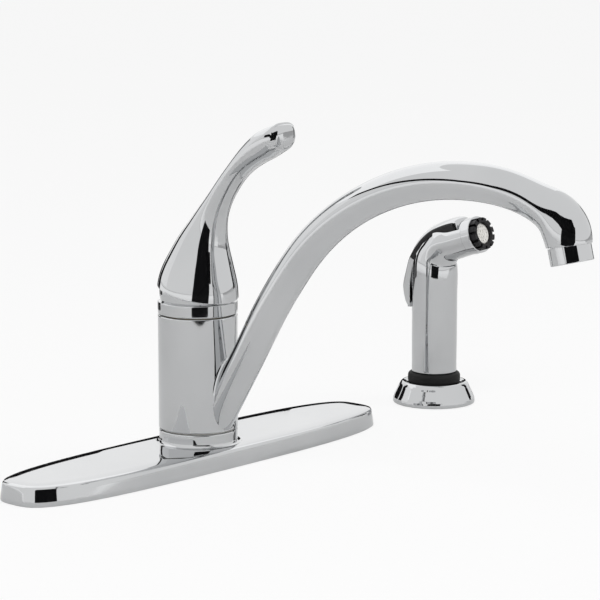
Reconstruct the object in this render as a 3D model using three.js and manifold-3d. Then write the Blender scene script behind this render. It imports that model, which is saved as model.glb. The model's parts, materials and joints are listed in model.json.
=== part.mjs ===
// A single lever kitchen faucet with a low arched swivel spout, a long deck plate and a side spray.
// Millimetres, +Z up. The origin is the valve body's axis on the countertop, the lever and the spout
// point forward along -Y, and the side spray stands to the right along +X.
import * as THREE from 'three';
import { mergeVertices } from 'three/addons/utils/BufferGeometryUtils.js';
import Module from 'manifold-3d';

// ---------------------------------------------------------------- driving dimensions

// Countertop
const holeSpacing = 101.6;
const deckThickness = 25;

// Clearances
const seatGap = 0.3;
const runningGap = 0.4;
const boreGap = 0.3;
const hubGap = 0.5;

// Deck plate, its underbody and its gasket
const plateHalfLength = 134.9;
const plateMargin = 7.3;
const plateSquareness = 3.2;
const plateHeight = 10.6;
const plateWall = 2.4;
const plateRound = 3.6;
const plateDraft = 0.5;
const underbodyThickness = 4.2;
const gasketThickness = 1.6;
const collarStep = 0.2;
const collarHeight = 7.1;
const collarFillet = 2.4;

// Valve body, from the countertop up
const trunkBase = 2;
const flangeOverhang = 6.5;
const flangeThickness = 2.2;
const bossStep = 1.3;
const neckStep = 1.5;
const neckWall = 2.2;
const neckHeight = 12.5;
const portRadius = 3;
const portInset = 4.4;
const chamberDepth = 1.9;
const oRingSection = 2.1;
const tailAngles = [210, 330, 90].map(THREE.MathUtils.degToRad);
const diverterRadius = 3.7;
const diverterInner = 4.5;
const diverterWall = 1.2;
const pistonHead = 1.8;

// Spout
const hubRadius = 21.3;
const hubHeight = 61.5;
const hubWall = 2.9;
const spoutWall = 1.5;
const outletTilt = THREE.MathUtils.degToRad(14);
const aeratorRadius = 10.4;
const aeratorHeight = 8.8;
const aeratorWall = 2.2;
const threadLength = 3.4;
// Stations along the spout's centre line: forward, height, radius.
const spoutStations = [
  [12.8, 22.5, 9],
  [26.2, 44.2, 9],
  [39.3, 65.4, 9],
  [51.6, 85.9, 9.1],
  [65.1, 105.2, 9.1],
  [79.6, 122.8, 9.1],
  [97.1, 138.1, 9],
  [117.1, 150.2, 9],
  [138.5, 158.9, 9.2],
  [161.2, 164.2, 9.4],
  [184.2, 165.9, 9.5],
  [205.7, 164.1, 9.3],
  [224, 159.1, 9.5],
  [236.6, 152.4, 11.2],
  [240.9, 145.4, 11.5],
  [242, 140.6, 11],
];

// Cartridge, from the bottom of its bore up
const cartridgeWall = 1.3;
const baseSealThickness = 1.6;
const cartridgeBaseThickness = 3.4;
const fixedDiscThickness = 3.3;
const movingDiscThickness = 3.2;
const carrierHeight = 7.6;
const collarFlange = 1.8;
const turnNeckInset = 5.3;
const housingTop = 1.9;
const retainingNutHeight = 3.6;

// Bonnet and lever handle
const bonnetHeight = 6.4;
const domeStep = 1;
const domeRim = 7.8;
const rimGap = 0.39;
const hoodGap = 0.4;
const rimTilt = THREE.MathUtils.degToRad(12.2);
const stemReach = 8.4;
const handleLift = THREE.MathUtils.degToRad(22);
const stemHalfWidth = 2.5;
const stemHalfDepth = 3.5;
const stemTop = 31.5;
const pinRadius = 1.5;
const setScrewRadius = 1.9;
const setScrewHeight = 24.6;
const dishDepth = 1.9;
const tipSquareness = 1.3;
// Stations up the hood: forward, height above the pivot, and how far the half width and the half
// thickness lie beyond the dome's radius.
const hoodStations = [
  [0, -7, 1.6, 1.6],
  [0, 0, 1.5, 1.5],
  [0.6, 7, 0.6, 0.5],
  [2.4, 17, -2.5, -2.9],
  [4.6, 26, -5.8, -6.5],
];
// Stations along the lever above the hood: forward, height above the pivot, half width, half thickness.
const leverStations = [
  [7.5, 34, 11.8, 10.5],
  [11.2, 42, 9.8, 7.8],
  [16.5, 50.5, 8.5, 6],
  [22.9, 59, 8.2, 5.3],
  [30, 66.7, 8.3, 5.1],
  [38, 73.6, 9, 6],
  [46.4, 79.4, 9.8, 7.2],
  [55, 84, 10.4, 8],
  [61.8, 86.8, 10.6, 8.1],
];

// Deck hardware
const studRadius = 4;
const studLength = 52;
const studHeadRadius = 7.5;
const studHeadHeight = 2.1;
const washerRadius = 17;
const washerThickness = 2;
const wingNutRadius = 9;
const wingNutHeight = 14;
const wingSpan = 21;
const wingThickness = 3.2;
const tailRadius = 4.8;
const tailWall = 1.4;
const tailInset = 6.1;
const tailLength = 45;
const tailCollarRadius = 6.2;
const bodyScrewRadius = 2;
const bodyScrewHead = 3.6;

// Side spray guide
const guideFlare = 4.1;
const guideShoulder = 4.7;
const guideHeight = 12.2;
const guideShankWall = 2;
const guideShankLength = 45;
const guideNutRadius = 21;
const guideNutHeight = 9;
const bumperStep = 2.2;
const bumperHeight = 6.2;

// Side spray wand: heights above the countertop, and distances along the head's axis from the bend
const gripRadius = 13.4;
const bendHeight = 94.2;
const headRise = THREE.MathUtils.degToRad(17);
const headShell = 28.5;
const noseCollarLength = 6.2;
const nozzleRingLength = 3.4;
const nozzleRingWidth = 4.4;
const nozzleNotches = 12;
const gripWall = 3.5;
const couplingDepth = 12;
const triggerSlotGap = 0.8;
const triggerPinAlong = 22;
const triggerPinAbove = 3.2;
const triggerPinRadius = 1.1;
const poppetHeight = 80;
const poppetRadius = 1.7;

// ---------------------------------------------------------------- derived levels

// Everything round the body's axis follows from the hub's radius, and the spray's from the grip's.
const plateHalfWidth = hubRadius + plateMargin;
const trunkRadius = hubRadius - hubWall - hubGap;
const bossRadius = trunkRadius - bossStep;
const flangeRadius = trunkRadius + flangeOverhang;
const neckRadius = trunkRadius - neckStep;
const cartridgeBore = neckRadius - neckWall;
const cartridgeRadius = cartridgeBore - boreGap;
const housingBore = cartridgeRadius - cartridgeWall;
const discTravel = stemReach * Math.sin(handleLift);
const movingDiscRadius = housingBore - discTravel - seatGap - 0.15;
const turnNeckRadius = cartridgeRadius - turnNeckInset;
const portCircle = cartridgeRadius - portInset;
const tailCircle = bossRadius - tailInset;
const bodyScrewCircle = flangeRadius - bodyScrewHead;
const collarRadius = hubRadius - collarStep;
const domeRadius = hubRadius - domeStep;
const domeOpening = domeRadius - domeRim;
const hoodRadius = domeRadius + hoodStations[1][2];
const pivotAboveRing = hoodRadius * Math.tan(rimTilt) + rimGap;
const couplingRadius = gripRadius - gripWall;
const guideBore = couplingRadius + 2.5;
const guideShankRadius = guideBore + guideShankWall;
const bumperRadius = gripRadius + bumperStep;
const guideTopRadius = bumperRadius + guideShoulder;
const guideRadius = guideTopRadius + guideFlare;
const headRadius = gripRadius - 2.9;
const noseCollarRadius = headRadius + 0.3;
const nozzleRingRadius = headRadius;
const nozzleFaceRadius = nozzleRingRadius - nozzleRingWidth;
const triggerHalfWidth = gripRadius - 5.3;

const underbodyTop = gasketThickness + underbodyThickness;
const flangeTop = underbodyTop + flangeThickness;
const collarTop = plateHeight + collarHeight;
const slipRingTop = collarTop + 0.5;
const hubBottom = slipRingTop + seatGap;
const hubTop = hubBottom + hubHeight;
const hubBore = hubRadius - hubWall;
const bonnetBottom = hubTop + 2 * seatGap + 0.2;
const ringTop = bonnetBottom + bonnetHeight;
const pivotHeight = ringTop + pivotAboveRing;
const shoulder = bonnetBottom + 1;
const bodyTop = shoulder + neckHeight;

// The cartridge hangs from the pivot: the stem's foot works the disc carrier below it.
const footHeight = pivotHeight - stemReach;
const footRadius = 2.4;
const carrierBottom = footHeight - 6.2;
const movingDiscBottom = carrierBottom - movingDiscThickness;
const fixedDiscTop = movingDiscBottom - seatGap;
const fixedDiscBottom = fixedDiscTop - fixedDiscThickness;
const cartridgeBaseBottom = fixedDiscBottom - cartridgeBaseThickness;
const sealBottom = cartridgeBaseBottom - baseSealThickness;
const turnFlangeBottom = pivotHeight - 5.8;
const turnFlangeTop = turnFlangeBottom + collarFlange;
const housingCeiling = turnFlangeTop + seatGap;
const housingHeight = housingCeiling + housingTop;

const chamberBottom = hubBottom + 6;
const lowerGroove = hubBottom + 1.6;
const upperGroove = hubTop - 11;
const chamberTop = upperGroove - 8.5;
const diverterHeight = chamberBottom + 20;
const diverterFloor = diverterInner + 0.4;
const diverterOuter = trunkRadius - chamberDepth - 0.4;
const diverterHead = diverterOuter - diverterWall - seatGap;
const sprayX = 2 * holeSpacing;

const [spoutEndForward, spoutEndHeight, spoutEndRadius] = spoutStations[spoutStations.length - 1];
const aeratorBore = aeratorRadius - aeratorWall;

// ---------------------------------------------------------------- shape helpers

const wasm = await Module();
wasm.setup();

// A closed geometry as a solid that can be cut and joined.
function solid(geometry) {
  const bare = geometry.index ? geometry.toNonIndexed() : geometry.clone();
  bare.deleteAttribute('normal');
  bare.deleteAttribute('uv');
  const merged = mergeVertices(bare, 1e-4);
  return new wasm.Manifold(new wasm.Mesh({
    numProp: 3,
    vertProperties: merged.attributes.position.array,
    triVerts: new Uint32Array(merged.index.array),
  }));
}

function geometryOf(body) {
  const { vertProperties, triVerts } = body.getMesh();
  const indexed = new THREE.BufferGeometry();
  indexed.setAttribute('position', new THREE.BufferAttribute(new Float32Array(vertProperties), 3));
  indexed.setIndex(new THREE.BufferAttribute(new Uint32Array(triVerts), 1));
  const flat = indexed.toNonIndexed();
  flat.computeVertexNormals();
  return flat;
}

function meshOf(name, shape, material) {
  const geometry = shape.isBufferGeometry ? shape : geometryOf(shape);
  const mesh = new THREE.Mesh(geometry, material.clone());
  mesh.name = name;
  return mesh;
}

// A solid of revolution about Z from [radius, height] points, counterclockwise seen from +Y.
// The profile either closes through the axis or closes on itself as a ring.
function revolve(profile, segments = 32) {
  let doubled = 0;
  profile.forEach(([r, z], i) => {
    const [r2, z2] = profile[(i + 1) % profile.length];
    doubled += r * z2 - r2 * z;
  });
  const outward = doubled > 0 ? profile : [...profile].reverse();
  const onAxis = outward[0][0] === 0 && outward[outward.length - 1][0] === 0;
  const closed = onAxis ? outward : [...outward, outward[0]];
  const points = closed.map(([r, z]) => new THREE.Vector2(r, z));
  return solid(new THREE.LatheGeometry(points, segments).rotateX(Math.PI / 2));
}

function rod(radius, low, high, segments = 24) {
  return revolve([[0, low], [radius, low], [radius, high], [0, high]], segments);
}

function ring(inner, outer, low, high, segments = 32) {
  return revolve([[inner, low], [outer, low], [outer, high], [inner, high]], segments);
}

function block(x, y, z) {
  const size = [x[1] - x[0], y[1] - y[0], z[1] - z[0]];
  const centre = [(x[0] + x[1]) / 2, (y[0] + y[1]) / 2, (z[0] + z[1]) / 2];
  return solid(new THREE.BoxGeometry(...size).translate(...centre));
}

// A flat outline in the plane x = 0, given as [y, z] points, thickened across X.
function slab(outline, halfWidth, edgeRound = 0) {
  const shape = new THREE.Shape(outline.map(([y, z]) => new THREE.Vector2(y, z)));
  const geometry = new THREE.ExtrudeGeometry(shape, {
    depth: 2 * (halfWidth - edgeRound),
    bevelEnabled: edgeRound > 0,
    bevelThickness: edgeRound,
    bevelSize: edgeRound,
    bevelOffset: -edgeRound,
    bevelSegments: 3,
    curveSegments: 12,
  });
  // Shape x runs along Y, shape y along Z, and the depth along X.
  const toPlane = new THREE.Matrix4().makeBasis(
    new THREE.Vector3(0, 1, 0), new THREE.Vector3(0, 0, 1), new THREE.Vector3(1, 0, 0));
  geometry.translate(0, 0, edgeRound - halfWidth).applyMatrix4(toPlane);
  return solid(geometry);
}

// A round rod along any curve.
function tubeAlong(points, radius, steps, sides) {
  const outline = new THREE.Shape();
  for (let i = 0; i < sides; i += 1) {
    const angle = (2 * Math.PI * i) / sides;
    const corner = [radius * Math.cos(angle), radius * Math.sin(angle)];
    if (i === 0) outline.moveTo(...corner);
    else outline.lineTo(...corner);
  }
  const path = new THREE.CatmullRomCurve3(points.map((p) => new THREE.Vector3(...p)));
  return solid(new THREE.ExtrudeGeometry(outline, { steps, bevelEnabled: false, extrudePath: path }));
}

// A compression spring along Z with its lower end at the origin.
function spring(radius, wire, length, turns) {
  const steps = turns * 8;
  const points = [];
  for (let i = 0; i <= steps; i += 1) {
    const angle = (2 * Math.PI * turns * i) / steps;
    const height = wire + ((length - 2 * wire) * i) / steps;
    points.push([radius * Math.cos(angle), radius * Math.sin(angle), height]);
  }
  return tubeAlong(points, wire, steps, 5);
}

// A skin over rings of equal point counts, closed by a fan on each end.
function loft(rings) {
  const corners = [];
  const centreOf = (row) => row.reduce((sum, p) => sum.add(p), new THREE.Vector3()).divideScalar(row.length);
  const face = (...three) => three.forEach((p) => corners.push(p.x, p.y, p.z));
  const count = rings[0].length;
  const first = centreOf(rings[0]);
  const last = centreOf(rings[rings.length - 1]);
  for (let j = 0; j < count; j += 1) {
    const k = (j + 1) % count;
    face(first, rings[0][k], rings[0][j]);
    face(last, rings[rings.length - 1][j], rings[rings.length - 1][k]);
    for (let i = 0; i + 1 < rings.length; i += 1) {
      face(rings[i][j], rings[i][k], rings[i + 1][k]);
      face(rings[i][j], rings[i + 1][k], rings[i + 1][j]);
    }
  }
  const geometry = new THREE.BufferGeometry();
  geometry.setAttribute('position', new THREE.BufferAttribute(new Float32Array(corners), 3));
  return solid(geometry);
}

// An oval ring square to a centre line in the plane x = 0, its upper half squared above a power of 2.
function ovalRing({ centre, tangent, width, thickness, power = 2 }, sides) {
  const upper = new THREE.Vector3(0, tangent.z, -tangent.y);
  const squared = (value, bend) => Math.sign(value) * Math.abs(value) ** (2 / bend);
  return Array.from({ length: sides }, (_, i) => {
    const angle = (2 * Math.PI * i) / sides;
    const bend = Math.sin(angle) > 0 ? power : 2;
    return centre.clone()
      .add(new THREE.Vector3(width * squared(Math.cos(angle), bend), 0, 0))
      .addScaledVector(upper, thickness * squared(Math.sin(angle), bend));
  });
}

// Frames along a centre line through stations of [forward, height, half width, half thickness].
function framesAlong(stations, steps) {
  const centres = stations.map(([forward, height]) => new THREE.Vector3(0, -forward, height));
  const sizes = stations.map(([, , a, b = a]) => new THREE.Vector3(a, b, 0));
  const path = new THREE.CatmullRomCurve3(centres);
  const size = new THREE.CatmullRomCurve3(sizes);
  return Array.from({ length: steps + 1 }, (_, i) => {
    const t = i / steps;
    const { x, y } = size.getPoint(t);
    return { centre: path.getPoint(t), tangent: path.getTangent(t), width: x, thickness: y };
  });
}

function sweptOval(frames, sides) {
  return loft(frames.map((frame) => ovalRing(frame, sides)));
}

// The deck plate's outline, a squared oval, moved inwards by an inset.
function plateOutline(inset, height, count = 56) {
  const power = 2 / plateSquareness;
  const along = (value, half) => Math.sign(value) * half * Math.abs(value) ** power;
  const bend = plateSquareness - 1;
  const slope = (value, half) => (Math.sign(value) * Math.abs(value / half) ** bend) / half;
  return Array.from({ length: count }, (_, i) => {
    const angle = (2 * Math.PI * (i + 0.5)) / count;
    const x = along(Math.cos(angle), plateHalfLength);
    const y = along(Math.sin(angle), plateHalfWidth);
    const normal = new THREE.Vector2(slope(x, plateHalfLength), slope(y, plateHalfWidth)).normalize();
    return new THREE.Vector3(x - inset * normal.x, y - inset * normal.y, height);
  });
}

function plateSlab(inset, low, high) {
  return loft([plateOutline(inset, low), plateOutline(inset, high)]);
}

// ---------------------------------------------------------------- finishes

function finish(colour, roughness, metalness) {
  return new THREE.MeshStandardMaterial({ color: colour, roughness, metalness });
}

const chrome = finish(0xdfe2e5, 0.05, 1);
const brass = finish(0xc2a35c, 0.35, 1);
const copper = finish(0xb8704a, 0.35, 1);
const steel = finish(0xb4b6b8, 0.3, 1);
const blackPlastic = finish(0x1d1e20, 0.5, 0);
const palePlastic = finish(0xe3e1d9, 0.45, 0);
const rubber = finish(0x141415, 0.75, 0);
const foam = finish(0x2b2b2d, 0.95, 0);
const ceramic = finish(0xf0efe9, 0.2, 0);

// ---------------------------------------------------------------- deck plate and what clamps it down

function deckPlate() {
  const levels = [[plateDraft * 0.4, 0.4], [0, 1]];
  const wallTop = plateHeight - plateRound;
  const arcSteps = 3;
  for (let i = 0; i <= arcSteps; i += 1) {
    const angle = (Math.PI / 2) * (i / arcSteps);
    levels.push([plateDraft + plateRound * (1 - Math.cos(angle)), wallTop + plateRound * Math.sin(angle)]);
  }
  const skin = loft(levels.map(([inset, height]) => plateOutline(inset, height)));
  const fillet = [];
  const filletSteps = 3;
  for (let i = 0; i <= filletSteps; i += 1) {
    const angle = (Math.PI / 2) * (i / filletSteps);
    fillet.push([
      collarRadius + collarFillet * (1 - Math.sin(angle)),
      plateHeight + collarFillet * (1 - Math.cos(angle)),
    ]);
  }
  const foot = [[0, plateHeight - 1], [collarRadius + collarFillet, plateHeight - 1]];
  const lip = [[collarRadius, collarTop - 0.5], [collarRadius - 0.5, collarTop], [0, collarTop]];
  const collar = revolve([...foot, ...fillet, ...lip]);
  const cavity = plateSlab(plateWall + plateDraft, -1, plateHeight - plateWall);
  const bore = rod(trunkRadius + 2 * runningGap, 0, collarTop + 1, 32);
  const rebate = rod(trunkRadius + 2.1, collarTop - 1.6, collarTop + 1, 32);
  return skin.add(collar).subtract(cavity).subtract(bore).subtract(rebate);
}

function underbody() {
  let plate = plateSlab(plateWall + plateDraft + boreGap, gasketThickness, underbodyTop);
  plate = plate.subtract(rod(bossRadius + runningGap, 0, underbodyTop + 1));
  const studHole = rod(studRadius + boreGap, 0, underbodyTop + 1);
  const screwHole = rod(bodyScrewRadius + boreGap, 0, underbodyTop + 1)
    .add(rod(bodyScrewHead + boreGap, 0, gasketThickness + 2.2));
  for (const side of [-1, 1]) {
    plate = plate.subtract(studHole.translate([side * holeSpacing, 0, 0]));
    plate = plate.subtract(screwHole.translate([side * bodyScrewCircle, 0, 0]));
  }
  return plate;
}

function gasket() {
  let sheet = plateSlab(plateWall + plateDraft + 2 * boreGap, 0, gasketThickness);
  sheet = sheet.subtract(rod(bossRadius + 1, -1, gasketThickness + 1));
  for (const side of [-1, 1]) {
    sheet = sheet.subtract(
      rod(studRadius + 1, -1, gasketThickness + 1, 24).translate([side * holeSpacing, 0, 0]));
  }
  return sheet;
}

function bodyScrew() {
  const head = revolve([
    [0, gasketThickness + 0.1], [bodyScrewHead, gasketThickness + 0.1],
    [bodyScrewHead, gasketThickness + 1.6], [bodyScrewRadius, gasketThickness + 2], [0, gasketThickness + 2],
  ], 20);
  return head.add(rod(bodyScrewRadius, gasketThickness + 1.8, flangeTop - 0.2, 20));
}

function stud() {
  const head = rod(studHeadRadius, underbodyTop, underbodyTop + studHeadHeight, 6);
  return head.add(rod(studRadius, -studLength, underbodyTop + 0.5, 20));
}

function washer(inner, outer) {
  return ring(inner, outer, -deckThickness - washerThickness, -deckThickness, 24);
}

function wingNut() {
  const top = -deckThickness - washerThickness;
  const bottom = top - wingNutHeight;
  const wings = block([-wingSpan, wingSpan], [-wingThickness / 2, wingThickness / 2], [bottom, top - 3]);
  return rod(wingNutRadius, bottom, top, 24)
    .add(wings)
    .subtract(rod(studRadius + boreGap, bottom - 1, top + 1, 20));
}

const deckGroup = new THREE.Group();
deckGroup.add(
  meshOf('deck_plate', deckPlate(), chrome),
  meshOf('plate_underbody', underbody(), blackPlastic),
  meshOf('deck_gasket', gasket(), foam),
);
for (const [side, sign] of [['left', -1], ['right', 1]]) {
  const clamp = new THREE.Group();
  clamp.position.x = sign * holeSpacing;
  clamp.add(
    meshOf(`${side}_stud`, stud(), steel),
    meshOf(`${side}_stud_washer`, washer(studRadius + boreGap, washerRadius), steel),
    meshOf(`${side}_wing_nut`, wingNut(), blackPlastic),
  );
  const screw = meshOf(`${side}_body_screw`, bodyScrew(), steel);
  screw.position.x = sign * bodyScrewCircle;
  deckGroup.add(clamp, screw);
}

// ---------------------------------------------------------------- valve body

function valveBody() {
  const groove = (z) => ring(trunkRadius - oRingSection - 0.2, trunkRadius + 1, z, z + oRingSection + 0.4);
  let body = revolve([
    [0, trunkBase], [bossRadius, trunkBase], [bossRadius, underbodyTop], [flangeRadius, underbodyTop],
    [flangeRadius, flangeTop], [trunkRadius, flangeTop], [trunkRadius, chamberBottom],
    [trunkRadius - chamberDepth, chamberBottom], [trunkRadius - chamberDepth, chamberTop],
    [trunkRadius, chamberTop], [trunkRadius, shoulder], [neckRadius, shoulder],
    [neckRadius, bodyTop], [0, bodyTop],
  ]);
  body = body.subtract(groove(lowerGroove)).subtract(groove(upperGroove));
  body = body.subtract(rod(cartridgeBore, sealBottom, bodyTop + 1));
  for (const angle of tailAngles) {
    const port = [portCircle * Math.cos(angle), portCircle * Math.sin(angle), 0];
    const socket = [tailCircle * Math.cos(angle), tailCircle * Math.sin(angle), 0];
    body = body.subtract(rod(portRadius, trunkBase + 8, sealBottom + 1, 12).translate(port));
    body = body.subtract(rod(tailRadius + boreGap, 0, trunkBase + 11, 20).translate(socket));
  }
  // The diverter's bore runs in from the annular chamber and crosses the mixed water port.
  const diverterBore = alongBack(rod(diverterRadius + boreGap, diverterInner, trunkRadius + 1, 16));
  body = body.subtract(diverterBore);
  for (const side of [-1, 1]) {
    const hole = rod(bodyScrewRadius + boreGap, underbodyTop - 1, flangeTop + 1, 20);
    body = body.subtract(hole.translate([side * bodyScrewCircle, 0, 0]));
  }
  return body;
}

// Turns a solid made along Z so that it lies along +Y at the diverter's height.
function alongBack(body) {
  return body.rotate([-90, 0, 0]).translate([0, 0, diverterHeight]);
}

function oRing(groove) {
  const inner = trunkRadius - oRingSection - 0.2 + boreGap;
  const middle = groove + oRingSection / 2 + 0.2;
  const radius = (hubBore - boreGap - inner) / 2;
  const points = [];
  const sides = 6;
  for (let i = 0; i < sides; i += 1) {
    const angle = (2 * Math.PI * i) / sides;
    points.push([inner + radius * (1 + Math.cos(angle)), middle + radius * Math.sin(angle)]);
  }
  return revolve(points);
}

function tail() {
  const wall = ring(tailRadius - tailWall, tailRadius, -tailLength, trunkBase + 10.5, 20);
  return wall.add(ring(tailRadius - 0.5, tailCollarRadius, trunkBase - 5, trunkBase - 0.3, 6));
}

// The diverter is made along Z, with its closed end at the bottom, and laid along +Y afterwards.
function diverterCage() {
  const cup = revolve([
    [1.3, diverterFloor], [diverterRadius, diverterFloor], [diverterRadius, diverterOuter],
    [1.9, diverterOuter], [1.9, diverterOuter - diverterWall], [2.8, diverterOuter - diverterWall],
    [2.8, diverterFloor + diverterWall], [1.3, diverterFloor + diverterWall],
  ], 16);
  const crossPort = rod(portRadius - 0.6, -6, 6, 8).rotate([90, 0, 0]).translate([0, 0, portCircle]);
  return cup.subtract(crossPort);
}

function diverterPiston() {
  const foot = diverterFloor + 2.2;
  return revolve([
    [0, foot], [0.9, foot], [0.9, diverterHead - pistonHead], [2.4, diverterHead - pistonHead],
    [2.4, diverterHead], [0, diverterHead],
  ], 20);
}

function diverterSpring() {
  const seat = diverterFloor + diverterWall + seatGap / 2;
  const length = diverterHead - pistonHead - seatGap / 2 - seat;
  return spring(1.75, 0.3, length, 4).translate([0, 0, seat]);
}

function slipRing(low, high) {
  return ring(trunkRadius + runningGap, trunkRadius + 1.8, low, high);
}

const valveGroup = new THREE.Group();
valveGroup.add(
  meshOf('valve_body', valveBody(), brass),
  meshOf('lower_o_ring', oRing(lowerGroove), rubber),
  meshOf('upper_o_ring', oRing(upperGroove), rubber),
  meshOf('lower_slip_ring', slipRing(collarTop - 1.6, slipRingTop), palePlastic),
  meshOf('upper_slip_ring', slipRing(hubTop + seatGap, shoulder + 0.2), palePlastic),
);
const diverterGroup = new THREE.Group();
diverterGroup.position.z = diverterHeight;
diverterGroup.rotation.x = -Math.PI / 2;
diverterGroup.add(
  meshOf('diverter_cage', diverterCage(), palePlastic),
  meshOf('diverter_piston', diverterPiston(), blackPlastic),
  meshOf('diverter_spring', diverterSpring(), steel),
);
valveGroup.add(diverterGroup);
['hot_supply_tail', 'cold_supply_tail', 'spray_outlet_tail'].forEach((name, i) => {
  const pipe = meshOf(name, tail(), copper);
  pipe.position.set(tailCircle * Math.cos(tailAngles[i]), tailCircle * Math.sin(tailAngles[i]), 0);
  valveGroup.add(pipe);
});

// ---------------------------------------------------------------- cartridge

function portedDisc(radius, low, high) {
  const circle = portCircle - 0.8;
  return tailAngles.reduce((rest, angle) => rest.subtract(
    rod(portRadius - 0.3, low - 1, high + 1, 12)
      .translate([circle * Math.cos(angle), circle * Math.sin(angle), 0])), rod(radius, low, high));
}

function movingDisc() {
  return rod(movingDiscRadius, movingDiscBottom, carrierBottom)
    .subtract(rod(movingDiscRadius - 3.5, movingDiscBottom - 1, movingDiscBottom + 1.4));
}

function leverPin() {
  const half = turnNeckRadius - 0.4;
  return rod(pinRadius, -half, half, 16).rotate([0, 90, 0]).translate([0, 0, pivotHeight]);
}

function cartridgeHousing() {
  const inner = housingBore;
  return revolve([
    [inner, fixedDiscBottom], [cartridgeRadius, fixedDiscBottom], [cartridgeRadius, housingHeight],
    [turnNeckRadius + runningGap, housingHeight], [turnNeckRadius + runningGap, housingCeiling],
    [inner, housingCeiling],
  ]);
}

function retainingNut() {
  const low = housingHeight + seatGap;
  const high = low + retainingNutHeight;
  let nut = ring(turnNeckRadius + 1.5 * runningGap, cartridgeRadius, low, high, 32);
  for (const turn of [0, 60, 120]) {
    const slots = block([-cartridgeRadius - 1, cartridgeRadius + 1], [-1.2, 1.2], [high - 1.4, high + 1]);
    nut = nut.subtract(slots.subtract(rod(turnNeckRadius + 1.6, low, high + 2, 24)).rotate([0, 0, turn]));
  }
  return nut;
}

function bonnetCap() {
  const inner = neckRadius + runningGap;
  const wall = 1.9;
  const profile = [
    [inner, shoulder + 0.2], [trunkRadius + 2, shoulder + 0.2], [trunkRadius + 2, bonnetBottom],
    [hubRadius, bonnetBottom], [hubRadius, ringTop - 0.4], [hubRadius - 0.4, ringTop],
    [Math.sqrt(domeRadius ** 2 - pivotAboveRing ** 2), ringTop],
  ];
  const startAngle = -Math.asin(pivotAboveRing / domeRadius);
  const endAngle = Math.acos(domeOpening / domeRadius);
  const steps = 5;
  for (let i = 1; i <= steps; i += 1) {
    const angle = startAngle + ((endAngle - startAngle) * i) / steps;
    profile.push([domeRadius * Math.cos(angle), pivotHeight + domeRadius * Math.sin(angle)]);
  }
  const within = domeRadius - wall;
  const innerStart = Math.acos(inner / within);
  const innerEnd = Math.acos(domeOpening / within);
  for (let i = 3; i >= 0; i -= 1) {
    const angle = innerStart + ((innerEnd - innerStart) * i) / 3;
    profile.push([within * Math.cos(angle), pivotHeight + within * Math.sin(angle)]);
  }
  return revolve(profile, 32);
}

function discCarrier() {
  const half = footRadius + 0.4;
  const top = footHeight + 1.4;
  return rod(movingDiscRadius, carrierBottom, top)
    .subtract(block([-half, half], [-half, half], [footHeight - footRadius - 0.5, top + 1]));
}

function turnCollar() {
  const inner = housingBore - boreGap;
  const slot = stemHalfWidth + runningGap;
  const pinHole = rod(pinRadius + boreGap, -20, 20, 20).rotate([0, 90, 0]).translate([0, 0, pivotHeight]);
  return revolve([
    [0, turnFlangeBottom], [inner, turnFlangeBottom], [inner, turnFlangeTop],
    [turnNeckRadius, turnFlangeTop], [turnNeckRadius, pivotHeight + 5.3], [0, pivotHeight + 5.3],
  ])
    .subtract(block([-slot, slot], [-6.6, 6.6], [turnFlangeBottom - 1, turnFlangeTop + 1]))
    .subtract(block([-slot, slot], [-20, 20], [turnFlangeTop, pivotHeight + 10]))
    .subtract(pinHole);
}

function leverStem() {
  const pinHole = rod(pinRadius + boreGap, -20, 20, 20).rotate([0, 90, 0]).translate([0, 0, pivotHeight]);
  const foot = solid(new THREE.SphereGeometry(footRadius, 12, 8).translate(0, 0, footHeight));
  return block(
    [-stemHalfWidth, stemHalfWidth], [-stemHalfDepth, stemHalfDepth],
    [pivotHeight - 2.8, pivotHeight + stemTop])
    .add(rod(2, footHeight, pivotHeight - 2.6, 16))
    .add(foot)
    .subtract(pinHole);
}

const cartridgeGroup = new THREE.Group();
cartridgeGroup.add(
  meshOf('base_seal', portedDisc(cartridgeRadius - 0.3, sealBottom, cartridgeBaseBottom), rubber),
  meshOf('cartridge_base', portedDisc(cartridgeRadius, cartridgeBaseBottom, fixedDiscBottom), palePlastic),
  meshOf('cartridge_housing', cartridgeHousing(), palePlastic),
  meshOf('fixed_disc', portedDisc(housingBore - boreGap, fixedDiscBottom, fixedDiscTop), ceramic),
  meshOf('moving_disc', movingDisc(), ceramic),
  meshOf('disc_carrier', discCarrier(), blackPlastic),
  meshOf('turn_collar', turnCollar(), palePlastic),
  meshOf('lever_pin', leverPin(), steel),
  meshOf('lever_stem', leverStem(), brass),
  meshOf('retaining_nut', retainingNut(), brass),
  meshOf('bonnet_cap', bonnetCap(), chrome),
);

// ---------------------------------------------------------------- lever handle

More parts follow.
